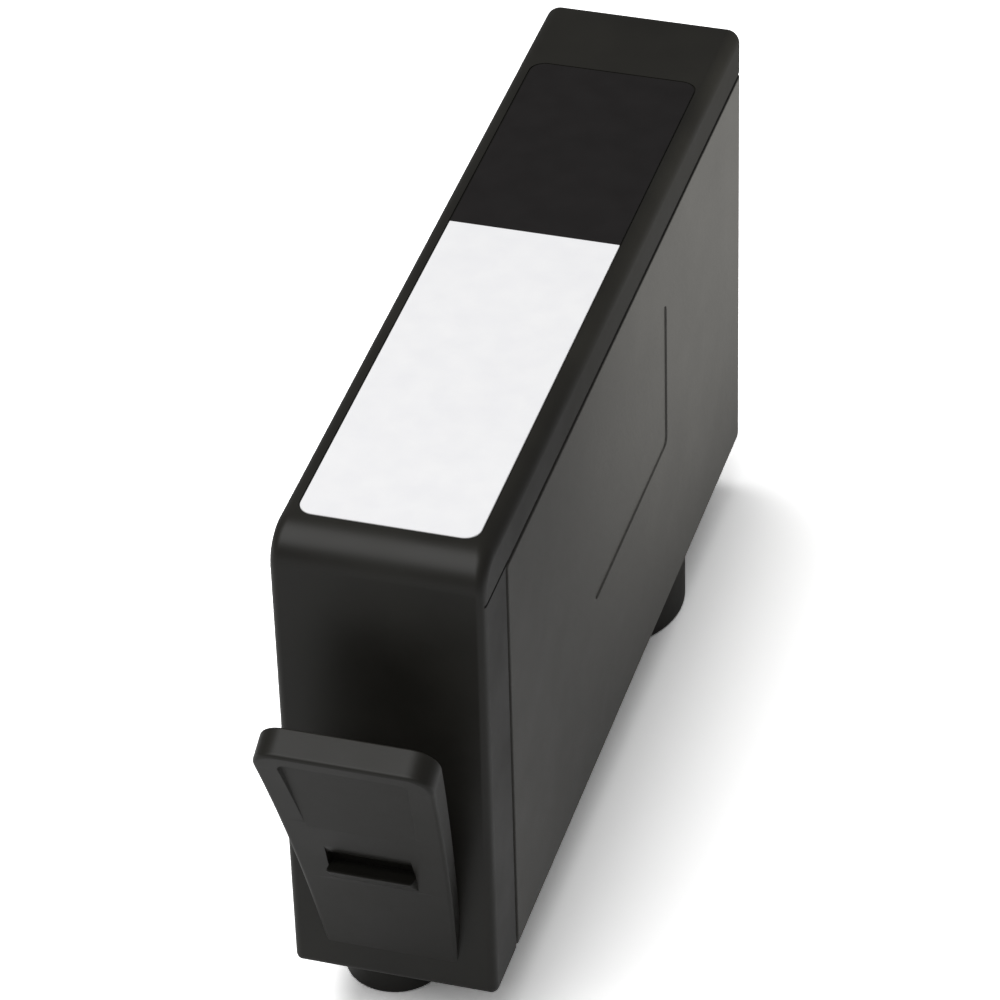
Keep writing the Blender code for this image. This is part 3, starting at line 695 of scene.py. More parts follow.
@dataclass(frozen=True)
class PlatedMetal(Finish):
    """Gold plated on copper pads: warm and bright, with fine wiping marks from the printer's contacts."""

    dark: str = "#D9A441"
    light: str = "#F2CC74"
    mark: float = 0.05 * MM
    mark_depth: float = 0.002 * MM
    squeeze: float = 0.03
    rub: float = 0.08

    def draw(self, tree: bpy.types.NodeTree, place: bpy.types.NodeSocket) -> dict[str, bpy.types.Node]:
        """Draws the wiping marks along Z.

        Args:
            tree: The material's node tree.
            place: Coordinates in metres.

        Returns:
            What feeds the shader, by the name of its socket.
        """
        wiped = add_node(tree, "ShaderNodeMapping", {"Scale": (1.0, 1.0, self.squeeze)}, {"Vector": place})
        marks = add_node(tree, "ShaderNodeTexNoise", {"Scale": 1 / self.mark}, {"Vector": wiped})
        return {
            "Base Color": add_node(tree, "ShaderNodeValToRGB", self.colours, {"Fac": marks}),
            "Roughness": add_node(tree, "ShaderNodeMapRange", self.varied, {"Value": marks}),
            "Normal": add_node(tree, "ShaderNodeBump", {"Distance": self.mark_depth}, {"Height": marks}),
        }


# Black polypropylene from a polished tool: satin, near black with a warm cast, glossier where it was rubbed
BLACK_PLASTIC = MouldedPlastic("moulded black polypropylene", roughness=0.42)
# The cover's tool was spark-eroded: a fine even speckle; its grey is painted sheen, the black cover's
# reflection at a low angle
COVER_PLASTIC_WITH_PAINTED_SHEEN = SparkedPlastic("spark-eroded black polypropylene with painted sheen", roughness=0.5)
# White-pigmented film under a satin varnish: clean white, hardly glossy
WHITE_LABEL = PrintedFilm("white label film", roughness=0.5)
# The same film under solid black ink: a little glossier than the tank
BLACK_LABEL = PrintedFilm("label film printed black", roughness=0.4, dark="#191717", light="#1D1B1B")
# Film welded down hot: a grey shine that breaks up where it crinkled
SEAL_FILM = SealFilm("heat-sealed film", roughness=0.25)
# Foam cut from a block and wet with ink: no shine, black in its cells from painted shade in the pores
FOAM = CellularFoam("open-cell foam", roughness=0.95)
# Fibres drawn into a rod and bonded: no shine, faint streaks along it
FELT = BondedFelt("bonded felt", roughness=0.95)
# Stainless wire, drawn and woven: small bright points that move with the light
STEEL_MESH = WovenMesh("woven stainless mesh", roughness=0.35, metallic=1.0)
# Elastomer pressed in a ground tool: matt and soft-looking
ELASTOMER = MouldedPlastic(
    "moulded elastomer", roughness=0.62, dark="#151515", light="#1C1C1C", mottle=1.5 * MM
)
# Glass cloth pressed in epoxy under solder mask: an even green gloss
LAMINATE = Laminate("glass-epoxy laminate", roughness=0.35)
# Gold plated thinly over copper: warm and bright, a little wiped
GOLD = PlatedMetal("gold plating", roughness=0.28, metallic=1.0)
# Epoxy that flowed and set over the die: wet gloss with a slow ripple
EPOXY = MouldedPlastic(
    "black potting epoxy",
    roughness=0.18,
    dark="#0B0B0C",
    light="#101012",
    grain=0.8 * MM,
    grain_depth=0.02 * MM,
)


# The cartridge


@dataclass(frozen=True)
class Body:
    """Outer form that the tank and its cover share, and the places measured from it."""

    low: Vector
    high: Vector
    length: float = 86.0 * MM
    left_draft: float = 0.3 * MM
    front_roll: float = 0.8 * MM
    top_roll: float = 1.4 * MM
    top_rear_roll: float = 1.3 * MM
    rear_roll: float = 1.3 * MM
    bottom_roll: float = 0.5 * MM
    top_front_corner: float = 3.3 * MM
    top_rear_corner: float = 1.4 * MM
    bottom_corner: float = 0.8 * MM
    outlet_drop: float = 6.0 * MM
    step_from_rear: float = 10.6 * MM
    step_run: float = 0.2 * MM
    step_drop: float = 0.03 * MM
    roll_steps: int = 10
    corner_steps: int = 14

    @property
    def side_x(self) -> float:
        """X of the right face."""
        return self.high.x

    @property
    def rear_y(self) -> float:
        """Y of the rear face."""
        return self.high.y

    @property
    def front_y(self) -> float:
        """Y of the front face."""
        return self.rear_y - self.length

    @property
    def base_z(self) -> float:
        """Z of the bottom face."""
        return self.low.z + self.outlet_drop

    @property
    def top_z(self) -> float:
        """Z of the top face behind the step."""
        return self.high.z

    def station(self, angle: float, side: int) -> Loop:
        """Gives one loop of the form, part of the way round the roll from the outline to a side face.

        Args:
            angle: 0 on the side face, a quarter turn on the full outline.
            side: 1 for the right side, -1 for the left.

        Returns:
            The loop.
        """
        rolls = (self.front_roll, self.bottom_roll, self.rear_roll, self.top_rear_roll, self.top_roll)
        radii = (self.bottom_corner, self.bottom_corner, self.top_rear_corner, self.top_front_corner)
        front, bottom, rear, top_rear, top = (roll * (1 - math.sin(angle)) for roll in rolls)
        low = (self.front_y + front, self.base_z + bottom)
        high = (self.rear_y - rear, self.top_z - top_rear)
        corners = [low, (high[0], low[1]), high, (low[0], self.top_z - top - self.step_drop)]
        insets = ((front, bottom), (bottom, rear), (rear, top_rear), (top, front))
        ends = ((rolls[0], rolls[1]), (rolls[1], rolls[2]), (rolls[2], rolls[3]), (rolls[4], rolls[0]))
        step_y = self.rear_y - self.step_from_rear
        loop: Loop = []
        for index, (corner, radius, pair) in enumerate(zip(corners, radii, insets)):
            radius = max(radius - min(pair), TINY_CORNER)
            inward = (1 if index in (0, 3) else -1, 1 if index in (0, 1) else -1)
            centre = (corner[0] + inward[0] * radius, corner[1] + inward[1] * radius)
            points = arc(centre, radius, 180 + 90 * index, 270 + 90 * index, self.corner_steps)
            for step, (y, z) in enumerate(points):
                share = step / self.corner_steps
                roll = ends[index][0] * (1 - share) + ends[index][1] * share
                loop.append(self.rolled(y, z, roll, angle, side))
            if index == 2:
                loop.append(self.rolled(step_y, high[1], self.top_rear_roll, angle, side))
                lower = high[1] - self.step_drop
                loop.append(self.rolled(step_y - self.step_run, lower, self.top_rear_roll, angle, side))
        return loop

    def rolled(self, y: float, z: float, roll: float, angle: float, side: int) -> Place:
        """Gives a point of a station with its x on the roll, and the left face's draft.

        Args:
            y: Its y.
            z: Its z.
            roll: Radius of the roll there.
            angle: Place round the roll, as in station.
            side: As in station.

        Returns:
            The point.
        """
        x = side * (self.side_x - roll * (1 - math.cos(angle)))
        if side < 0:
            x += self.left_draft * (self.top_z - z) / (self.top_z - self.base_z)
        return (x, y, z)

    def block(self, name: str) -> bpy.types.Object:
        """Builds the outer form.

        Args:
            name: Name of the new object.

        Returns:
            The closed solid.
        """
        angles = [math.pi / 2 * step / self.roll_steps for step in range(self.roll_steps + 1)]
        loops = [self.station(angle, -1) for angle in angles]
        loops += [self.station(angle, 1) for angle in reversed(angles)]
        return loft(name, loops)


@dataclass(frozen=True)
class Seam:
    """The line between tank and cover, with the small round that each edge has."""

    body: Body
    top_strip: float = 4.5 * MM
    front_strip: float = 6.3 * MM
    corner: float = 0.6 * MM
    top_gap: float = 0.6 * MM
    front_gap: float = 0.75 * MM
    edge: float = 0.1 * MM
    edge_steps: int = 4
    cover_thickness: float = 1.4 * MM
    seat_gap: float = 0.25 * MM

    @property
    def cover_inner_x(self) -> float:
        """X of the cover's inner face."""
        return self.body.side_x - self.cover_thickness

    @property
    def landing_x(self) -> float:
        """X of the tank's landing under the cover."""
        return self.cover_inner_x - self.seat_gap

    def outline(self, grow: float, bottom: float, gaps: float) -> list[Point]:
        """Gives the seam's line in the side view, open past the rear and the bottom.

        Args:
            grow: How far the top and front edges move outwards.
            bottom: Z of the lower end.
            gaps: 1 to leave the seam's gaps, 0 to leave none.

        Returns:
            The closed outline.
        """
        front = self.body.front_y + self.front_strip - grow + gaps * self.front_gap
        top = self.body.top_z - self.top_strip + grow - gaps * self.top_gap
        rear = self.body.rear_y + OVERRUN
        corners = [(front, bottom), (rear, bottom), (rear, top), (front, top)]
        return rounded(corners, (0, 0, 0, self.corner + grow - gaps * self.top_gap / 2))

    def tool(self, name: str, low: float, gaps: int, bottom: float) -> bpy.types.Object:
        """Builds a cutter whose edge is round where it meets the right face.

        Args:
            name: Name of the new object.
            low: X of its inner end.
            gaps: 0 for the tank's side of the seam, which widens outwards; 1 for the cover's, which narrows.
            bottom: Z of its lower end.

        Returns:
            The closed solid.
        """
        side = self.body.side_x
        flare = 1 - 2 * gaps
        levels = [(low, 0.0)]
        for step in range(self.edge_steps + 1):
            angle = math.pi / 2 * step / self.edge_steps
            wider = self.edge * (1 - math.cos(angle))
            levels.append((side - self.edge * (1 - math.sin(angle)), flare * wider))
        levels.append((side + OVERRUN, levels[-1][1]))
        loops = []
        for x, grown in levels:
            loops.append([(x, y, z) for y, z in self.outline(grown, bottom, gaps)])
        return loft(name, loops)


@dataclass(frozen=True)
class Tank:
    """The moulded tank, with all that is moulded on it except the latch."""

    body: Body
    seam: Seam
    wall: float = 1.5 * MM
    rear_wall: float = 3.2 * MM
    land: float = 1.1 * MM
    partition_front: float = 31.0 * MM
    chamber_corner: float = 1.2 * MM
    link_height: float = 2.5 * MM
    slot_front: float = 3.9 * MM
    slot_depth: float = 2.0 * MM
    slot_left: float = 2.4 * MM
    slot_width: float = 4.6 * MM
    slot_roof: float = 6.0 * MM
    slot_corner: float = 0.5 * MM
    outlet_from_rear: float = 21.5 * MM
    outlet_radius: float = 9.0 * MM
    ring_wall: float = 1.4 * MM
    nozzle_radius: float = 5.6 * MM
    nozzle_bore: float = 4.3 * MM
    nozzle_recess: float = 1.2 * MM
    nozzle_edge: float = 0.25 * MM
    collar_height: float = 0.8 * MM
    rim: float = 0.4 * MM
    fillet: float = 0.6 * MM
    boss_x: float = -2.65 * MM
    boss_back: float = 8.8 * MM
    boss_radius: float = 4.5 * MM
    boss_wall: float = 1.1 * MM
    cup_floor: float = 3.8 * MM
    fill_behind_boss: float = 1.75 * MM
    fill_bore: float = 1.3 * MM
    fill_wall: float = 0.5 * MM
    fill_edge: float = 0.12 * MM
    chip_depth: float = 1.5 * MM
    chip_clearance: float = 0.25 * MM
    chip_corner: float = 0.65 * MM
    chip_lead: float = 0.2 * MM
    glob_room: float = 0.1 * MM
    overlap: float = 0.5 * MM
    stake_x: float = 5.1 * MM
    stake_radius: float = 0.45 * MM
    stake_head: float = 0.8 * MM
    stake_height: float = 0.35 * MM
    stake_buried: float = 0.4 * MM
    stake_proud: float = 0.03 * MM
    # Rings of a stake's domed head, in degrees up from its edge
    stake_turns: tuple[int, ...] = (0, 25, 50, 75)
    parting_width: float = 0.5 * MM
    parting_depth: float = 0.4 * MM
    steps: int = 96
    small_steps: int = 40
    stake_steps: int = 24
    edge_steps: int = 6
    nozzle_edge_steps: int = 4
    fill_edge_steps: int = 3

    @property
    def chamber_floor(self) -> float:
        """Z of the chambers' floor."""
        return self.body.base_z + self.wall

    @property
    def chamber_roof(self) -> float:
        """Z of the chambers' roof."""
        return self.body.top_z - self.seam.top_strip - self.land

    @property
    def outlet(self) -> Point:
        """Middle of the outlet in the top view."""
        return (0.0, self.body.rear_y - self.outlet_from_rear)

    @property
    def boss(self) -> Point:
        """Middle of the front boss in the top view."""
        return (self.boss_x, self.body.front_y + self.boss_back)

    def chambers(self) -> list[Span]:
        """Gives the front and rear ends of both chambers, as pairs of y.

        Returns:
            The pairs, the front chamber's first.
        """
        front = self.body.front_y + self.seam.front_strip + self.land
        partition = self.body.front_y + self.partition_front
        return [(front, partition), (partition + self.wall, self.body.rear_y - self.rear_wall)]

    def build(self) -> bpy.types.Object:
        """Builds the tank.

        Returns:
            The piece.
        """
        tank = self.body.block("tank_shell")
        shape(tank, "UNION", self.ring(), self.cup())
        shape(tank, "DIFFERENCE", *self.openings())
        shape(tank, "DIFFERENCE", *self.holes())
        shape(tank, "UNION", self.nozzle(), self.fill_collar())
        shape(tank, "DIFFERENCE", *self.chip_seat())
        shape(tank, "UNION", *self.stakes())
        smooth(tank)
        return tank

    def ring(self) -> bpy.types.Object:
        """Builds the ring that the cartridge stands on, with its fillets.

        Returns:
            The closed solid.
        """
        inner = self.outlet_radius - self.ring_wall
        base = self.body.base_z
        buried = base + self.wall / 2
        profile = [(inner - self.fillet, buried)]
        profile += arc((inner - self.fillet, base - self.fillet), self.fillet, 90, 0, self.edge_steps)
        profile += arc((inner + self.rim, self.rim), self.rim, 180, 270, self.edge_steps)
        profile += arc((self.outlet_radius - self.rim, self.rim), self.rim, 270, 360, self.edge_steps)
        profile += [(self.outlet_radius, buried)]
        return turned("outlet_ring", profile, self.outlet, self.steps, cyclic=True)

    def cup(self) -> bpy.types.Object:
        """Builds the cup-shaped boss under the front.

        Returns:
            The closed solid.
        """
        inner = self.boss_radius - self.boss_wall
        base = self.body.base_z
        profile = [(self.boss_radius + self.fillet, base + self.wall / 2)]
        middle = (self.boss_radius + self.fillet, base - self.fillet)
        profile += arc(middle, self.fillet, 90, 180, self.edge_steps)
        profile += arc((self.boss_radius - self.rim, self.rim), self.rim, 360, 270, self.edge_steps)
        profile += arc((inner + self.rim, self.rim), self.rim, 270, 180, self.edge_steps)
        profile += arc((inner - self.rim, self.cup_floor - self.rim), self.rim, 0, 90, self.edge_steps)
        return turned("front_boss", profile, self.boss, self.steps)

    def openings(self) -> list[bpy.types.Object]:
        """Builds the cutters of the rebate, chambers, slots, parting line and label's seat.

        Returns:
            The closed solids.
        """
        side = self.body.side_x
        bottom = self.body.base_z - self.seam.seat_gap
        tools = [self.seam.tool("rebate_cut", self.seam.landing_x, 0, bottom)]
        left = -side + self.wall
        for name, (front, rear) in zip(("front", "rear"), self.chambers()):
            low = (front, self.chamber_floor)
            high = (rear, self.chamber_roof)
            outline = rounded_rectangle(low, high, self.chamber_corner)
            tools.append(prism(f"{name}_chamber_cut", outline, Plane.SIDE, left, side + OVERRUN))
        partition = self.body.front_y + self.partition_front
        low = (partition - OVERRUN, self.chamber_floor)
        high = (partition + self.wall + OVERRUN, self.chamber_floor + self.link_height)
        link = rounded_rectangle(low, high, 0)
        tools.append(prism("link_slot_cut", link, Plane.SIDE, left, side + OVERRUN))
        low = (self.slot_left, self.body.front_y + self.slot_front)
        high = (low[0] + self.slot_width, low[1] + self.slot_depth)
        slot = rounded_rectangle(low, high, self.slot_corner)
        roof = self.body.top_z - self.slot_roof
        tools.append(prism("core_slot_cut", slot, Plane.TOP, self.body.base_z - OVERRUN, roof))
        tools.append(self.parting_line())
        tools += Label(self.body).recesses()
        return tools

    def parting_line(self) -> bpy.types.Object:
        """Builds the cutter of the thin line that runs on from the seam's corner to the front.

        Returns:
            The closed solid.
        """
        side = self.body.side_x
        z = self.body.top_z - self.seam.top_strip
        half = self.parting_width / 2
        vee = [(side - self.parting_depth, z), (side + half, z - half), (side + half, z + half)]
        front = self.body.front_y + self.body.front_roll / 2
        rear = self.body.front_y + self.seam.front_strip + self.seam.corner
        return prism("parting_line_cut", vee, Plane.REAR, front, rear)

    def holes(self) -> list[bpy.types.Object]:
        """Builds the rods that open the outlet and the filling hole, inside the walls joined later.

        Returns:
            The closed solids.
        """
        high = self.chamber_floor + OVERRUN
        within = (self.nozzle_radius + self.nozzle_bore) / 2
        nozzle = turned("nozzle_hole", [(within, -OVERRUN), (within, high)], self.outlet, self.steps)
        within = self.fill_bore + self.rim / 2
        rod = [(within, -OVERRUN), (within, high)]
        return [nozzle, turned("fill_hole", rod, self.fill_place, self.small_steps)]

    @property
    def fill_place(self) -> Point:
        """Middle of the filling hole in the top view."""
        return (self.boss[0], self.boss[1] + self.fill_behind_boss)

    def nozzle(self) -> bpy.types.Object:
        """Builds the nozzle inside the ring, with rounded ends.

        Returns:
            The closed solid.
        """
        top = self.chamber_floor + self.collar_height
        corners = [
            (self.nozzle_bore, self.nozzle_recess),
            (self.nozzle_radius, self.nozzle_recess),
            (self.nozzle_radius, top),
            (self.nozzle_bore, top),
        ]
        profile = rounded(corners, [self.nozzle_edge] * len(corners), self.nozzle_edge_steps)
        return turned("outlet_nozzle", profile, self.outlet, self.steps, cyclic=True)

    def fill_collar(self) -> bpy.types.Object:
        """Builds the collar round the filling hole.

        Returns:
            The closed solid.
        """
        outer = self.fill_bore + self.fill_wall
        low = self.cup_floor - self.rim
        high = self.chamber_floor + self.rim
        corners = [(self.fill_bore, low), (outer, low), (outer, high), (self.fill_bore, high)]
        profile = rounded(corners, [self.fill_edge] * len(corners), self.fill_edge_steps)
        return turned("fill_collar", profile, self.fill_place, self.small_steps, cyclic=True)

    def chip_seat(self) -> list[bpy.types.Object]:
        """Builds the cutter of the chip's recess, with a small lead-in, and of the pocket for its glob.

        Returns:
            The closed solids.
        """
        low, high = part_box("chip_board")
        rear = self.body.rear_y
        floor = rear - self.chip_depth
        lead = self.chip_lead
        loops = []
        for y, grow in ((floor, 0.0), (rear - lead, 0.0), (rear, lead), (rear + OVERRUN, lead)):
            reach = self.chip_clearance + grow
            near = (low.x - reach, low.z - reach)
            far = (high.x + reach, high.z + reach)
            loops.append([(x, y, z) for x, z in rounded_rectangle(near, far, self.chip_corner)])
        glob_low, glob_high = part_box("chip_glob")
        middle = ((glob_low.x + glob_high.x) / 2, (glob_low.z + glob_high.z) / 2)
        radius = (glob_high.x - glob_low.x) / 2 + self.chip_clearance
        pocket = circle(middle, radius, self.small_steps)
        deep = glob_low.y - self.glob_room
        return [
            loft("chip_seat_cut", loops),
            prism("glob_pocket_cut", pocket, Plane.REAR, deep, floor + self.overlap),
        ]

    def stakes(self) -> list[bpy.types.Object]:
        """Builds the two melted stakes that hold the chip's board, each with a domed head.

        Returns:
            The closed solids.
        """
        low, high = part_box("chip_board")
        z = (low.z + high.z) / 2
        floor = self.body.rear_y - self.chip_depth
        head = high.y + self.stake_proud
        rows = [(floor - self.stake_buried, self.stake_radius), (head, self.stake_radius)]
        for angle in self.stake_turns:
            turn = math.radians(angle)
            rows.append((head + self.stake_height * math.sin(turn), self.stake_head * math.cos(turn)))
        made = []
        for name, x in (("left", -self.stake_x), ("right", self.stake_x)):
            loops = []
            for y, radius in rows:
                loops.append([(px, y, pz) for px, pz in circle((x, z), radius, self.stake_steps)])
            made.append(loft(f"chip_stake_{name}", loops))
        return made

    def dress(self, tank: bpy.types.Object) -> None:
        """Gives the tank its finish and its body.

        Args:
            tank: The built tank.
        """
        give(tank, BLACK_PLASTIC.make())
        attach(tank, "cartridge")
        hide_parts("tank_body")


@dataclass(frozen=True)
class Cover:
    """The welded side cover, with its shallow bare recess."""

    body: Body
    seam: Seam
    tank: Tank
    lip_height: float = 1.2 * MM
    lip_wall: float = 1.0 * MM
    fit: float = 0.25 * MM
    panel_front: float = 33.1 * MM
    panel_length: float = 25.0 * MM
    panel_bottom: float = 18.4 * MM
    panel_height: float = 15.8 * MM
    panel_depth: float = 0.2 * MM
    panel_corner: float = 0.8 * MM
    panel_slope: float = 0.03 * MM
    panel_edge: float = 0.05 * MM
    panel_edge_steps: int = 4

    def build(self) -> bpy.types.Object:
        """Builds the cover.

        Returns:
            The piece.
        """
        cover = self.body.block("cover_panel")
        bottom = self.body.base_z - OVERRUN
        region = self.seam.tool("cover_region", self.seam.cover_inner_x, 1, bottom)
        shape(cover, "INTERSECT", region)
        shape(cover, "UNION", *self.lips())
        shape(cover, "DIFFERENCE", self.recess())
        smooth(cover)
        return cover

    def lips(self) -> list[bpy.types.Object]:
        """Builds the lip that reaches into each chamber.

        Returns:
            The closed solids.
        """
        inner_x = self.seam.cover_inner_x
        made = []
        for name, (front, rear) in zip(("front", "rear"), self.tank.chambers()):
            low = (front + self.fit, self.tank.chamber_floor + self.fit)
            high = (rear - self.fit, self.tank.chamber_roof - self.fit)
            corner = self.tank.chamber_corner - self.fit
            outer = rounded_rectangle(low, high, corner)
            wall = self.lip_wall
            low = (low[0] + wall, low[1] + wall)
            high = (high[0] - wall, high[1] - wall)
            inner = rounded_rectangle(low, high, corner - wall)
            start = inner_x - self.lip_height
            end = inner_x + self.seam.cover_thickness / 2
            loops = []
            for outline, x in ((outer, start), (outer, end), (inner, end), (inner, start)):
                loops.append([(x, y, z) for y, z in outline])
            made.append(loft(f"{name}_lip", loops, cyclic=True))
        return made

    def recess(self) -> bpy.types.Object:
        """Builds the cutter of the recess: sloping walls and a small round at the rim.

        Returns:
            The closed solid.
        """
        side = self.body.side_x
        low = (self.body.front_y + self.panel_front, self.body.base_z + self.panel_bottom)
        high = (low[0] + self.panel_length, low[1] + self.panel_height)
        levels = [(side - self.panel_depth, -self.panel_slope)]
        for step in range(self.panel_edge_steps + 1):
            angle = math.pi / 2 * step / self.panel_edge_steps
            grow = self.panel_edge * (1 - math.cos(angle))
            levels.append((side - self.panel_edge * (1 - math.sin(angle)), grow))
        levels.append((side + OVERRUN, self.panel_edge))
        loops = []
        for x, grow in levels:
            near = (low[0] - grow, low[1] - grow)
            far = (high[0] + grow, high[1] + grow)
            outline = rounded_rectangle(near, far, self.panel_corner + grow)
            loops.append([(x, y, z) for y, z in outline])
        return loft("recess_cut", loops)

    def dress(self, cover: bpy.types.Object) -> None:
        """Gives the cover its finish and its body.

        Args:
            cover: The built cover.
        """
        give(cover, COVER_PLASTIC_WITH_PAINTED_SHEEN.make())
        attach(cover, "cartridge")
        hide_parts("side_cover")


@dataclass(frozen=True)
class Label:
    """The label on the top, white in front and black behind, in its shallow recess."""

    body: Body
    front: float = 3.45 * MM
    from_rear: float = 10.85 * MM
    width: float = 15.7 * MM
    corner: float = 1.4 * MM
    clearance: float = 0.12 * MM
    film_margin: float = 0.8 * MM
    white_length: float = 44.4 * MM
    edge: float = 0.05 * MM
    glue_gap: float = 0.02 * MM
    corner_steps: int = 12

    def corners(self, inset: float) -> tuple[Point, Point]:
        """Gives the label's low and high corners in the top view.

        Args:
            inset: How much smaller it is all round.

        Returns:
            Its low and high corners.
        """
        low = (-self.width / 2 + inset, self.body.front_y + self.front + inset)
        high = (self.width / 2 - inset, self.body.rear_y - self.from_rear - inset)
        return low, high

    def recesses(self) -> list[bpy.types.Object]:
        """Builds the cutters of the label's recess and of the film's, below it.

        Returns:
            The closed solids.
        """
        label_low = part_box("top_label")[0]
        film_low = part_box("vent_seal_film")[0]
        high = self.body.top_z + OVERRUN
        outer = rounded_rectangle(*self.corners(-self.clearance), self.corner + self.clearance)
        inner = rounded_rectangle(*self.corners(self.film_margin - self.clearance), self.corner)
        return [
            prism("label_recess_cut", outer, Plane.TOP, label_low.z - self.glue_gap, high),
            prism("film_recess_cut", inner, Plane.TOP, film_low.z - self.glue_gap, high),
        ]

    def build(self) -> bpy.types.Object:
        """Builds the label, cut at the line between its two fields.

        Returns:
            The piece.
        """
        low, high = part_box("top_label")
        loops = []
        for z, inset in ((low.z, 0.0), (high.z - self.edge, 0.0), (high.z, self.edge)):
            outline = rounded_rectangle(*self.corners(inset), self.corner - inset, self.corner_steps)
            loops.append([(x, y, z) for x, y in outline])
        label = loft("label_sheet", loops)
        bm = bmesh.new()
        bm.from_mesh(label.data)
        line = (0, self.body.front_y + self.front + self.white_length, 0)
        parts = bm.verts[:] + bm.edges[:] + bm.faces[:]
        bmesh.ops.bisect_plane(bm, geom=parts, plane_co=line, plane_no=(0, 1, 0))
        for face in bm.faces:
            face.material_index = 1 if face.calc_center_median().y > line[1] else 0
        bm.to_mesh(label.data)
        bm.free()
        smooth(label)
        return label

    def dress(self, label: bpy.types.Object) -> None:
        """Gives the label its two printed fields and its body.

        Args:
            label: The built label.
        """
        for finish in (WHITE_LABEL, BLACK_LABEL):
            label.data.materials.append(finish.make())
        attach(label, "cartridge")
        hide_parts("top_label")


@dataclass(frozen=True)
class Latch:
    """The springy latch plate on the front, with its rim, sunk panel, scoop and hooked catch."""

    body: Body
    foot_up: float = 4.2 * MM
    standoff: float = 0.3 * MM
    length: float = 31.0 * MM
    lean: float = math.radians(16.9)
    bend: float = 200.0 * MM
    foot_width: float = 12.05 * MM
    top_width: float = 15.7 * MM
    foot_thickness: float = 1.34 * MM
    top_thickness: float = 2.8 * MM
    corner: float = 2.4 * MM
    corner_steps: int = 14
    rim: float = 2.3 * MM
    top_rim: float = 1.7 * MM
    panel_depth: float = 0.5 * MM
    panel_foot: float = 18.5 * MM
    panel_corner: float = 0.7 * MM
    panel_soft: float = 0.12 * MM
    panel_slope: float = 0.18 * MM
    panel_run_out: float = 0.5
    hinge_up: float = 3.2 * MM
    flex: float = 1.2 * MM
    catch_up: float = 12.8 * MM
    catch_width: float = 7.8 * MM
    catch_reach: float = 1.05 * MM
    catch_run: float = 6.5 * MM
    catch_flank: float = 0.1 * MM
    catch_hook: float = 0.45
    catch_soft: float = 0.22 * MM
    catch_root: float = 0.3 * MM
    catch_least: float = 0.02 * MM
    catch_corner: float = 0.3
    scoop_run: float = 2.8 * MM
    scoop_depth: float = 1.4 * MM
    scoop_flare: float = 0.05
    scoop_soft: float = 0.35 * MM
    scoop_past: float = 0.05 * MM
    scoop_skin: float = 0.004 * MM
    scoop_steps: int = 18
    section_steps: int = 4
    buried: float = 3.6 * MM
    edge: float = 0.4 * MM
    back_edge: float = 0.18 * MM
    edge_steps: int = 6
    row: float = 0.6 * MM
    same_place: float = 0.0001 * MM
    sliver: float = 0.002 * MM

    def front(self, along: float) -> tuple[float, float, float]:
        """Gives the place of the latch's front face.

        Args:
            along: Length up the latch from its foot.

        Returns:
            Reach ahead of the body, height above its bottom, and lean there.
        """
        lean = self.lean + along / self.bend
        reach = self.standoff + self.bend * (math.cos(self.lean) - math.cos(lean))
        height = self.foot_up + self.bend * (math.sin(lean) - math.sin(self.lean))
        return reach, height, lean

    def thickness(self, along: float) -> float:
        """Gives the plate's thickness at a length up it."""
        return self.foot_thickness + (self.top_thickness - self.foot_thickness) * along / self.length

    def half_width(self, along: float) -> float:
        """Gives half the plate's width at a length up it."""
        return (self.foot_width + (self.top_width - self.foot_width) * along / self.length) / 2

    def outline(self, inset: float) -> list[Point]:
        """Gives the flat plate's outline.

        Args:
            inset: How much smaller it is at its sides and top.

        Returns:
            The outline, x across and y up the plate.
        """
        foot = self.half_width(-self.buried) - inset
        top = self.half_width(self.length) - self.corner
        slant = math.degrees(math.atan2(self.top_width - self.foot_width, 2 * self.length))
        centre_y = self.length - self.corner
        points = [(-foot, -self.buried), (foot, -self.buried)]
        points += arc((top, centre_y), self.corner - inset, -slant, 90, self.corner_steps)
        points += arc((-top, centre_y), self.corner - inset, 90, 180 + slant, self.corner_steps)
        return points

    def flat_plate(self) -> bpy.types.Object:
        """Builds the flat plate: x across, y up its length, z out of its front face.

        Returns:
            The closed solid.
        """
        levels = []
        for step in range(self.edge_steps + 1):
            angle = math.pi / 2 * step / self.edge_steps
            rise = self.back_edge * (1 - math.cos(angle))
            levels.append((self.back_edge * (1 - math.sin(angle)), rise - self.top_thickness))
        for step in range(self.edge_steps, -1, -1):
            angle = math.pi / 2 * step / self.edge_steps
            levels.append((self.edge * (1 - math.sin(angle)), -self.edge * (1 - math.cos(angle))))
        loops = [[(x, y, z) for x, y in self.outline(inset)] for inset, z in levels]
        return loft("latch_plate", loops)

    def panel_tool(self) -> bpy.types.Object:
        """Builds the cutter of the sunk panel, which runs out towards the foot.

        Returns:
            The closed solid.
        """
        half = self.half_width(self.length) - self.rim
        top = self.length - self.top_rim
        taper = (self.top_width - self.foot_width) / 2 / self.length
        run = top - self.panel_foot
        start = self.panel_foot - self.panel_run_out * run

        def loop(grow: float, lift: float) -> Loop:
            """Gives one loop of the cutter, parallel to the panel's floor.

            Args:
                grow: How far it is outside the floor's own outline.
                lift: Its height over the floor.

            Returns:
                The loop.
            """
            low = half + grow - taper * (top - start)
            high = half + grow
            corners = [(-low, start), (low, start), (high, top + grow), (-high, top + grow)]
            points = rounded(corners, (0, 0, self.panel_corner + grow, self.panel_corner + grow))
            return [(x, y, lift - self.panel_depth * (y - self.panel_foot) / run) for x, y in points]

        soft = self.panel_soft
        middle = ROUND_MIDDLE * soft
        loops = [loop(-soft, 0.0), loop(-middle, middle), loop(0.0, soft)]
        loops.append(loop(self.panel_slope, self.panel_depth))
        loops.append(loop(self.panel_slope + self.panel_depth, 2 * self.panel_depth))
        return loft("panel_cut", loops)

    def undercut(self, out: float) -> float:
        """Gives how far the catch's ledge falls back towards the foot at a height out of the plate."""
        return self.catch_hook * max(self.catch_reach - out, 0.0)

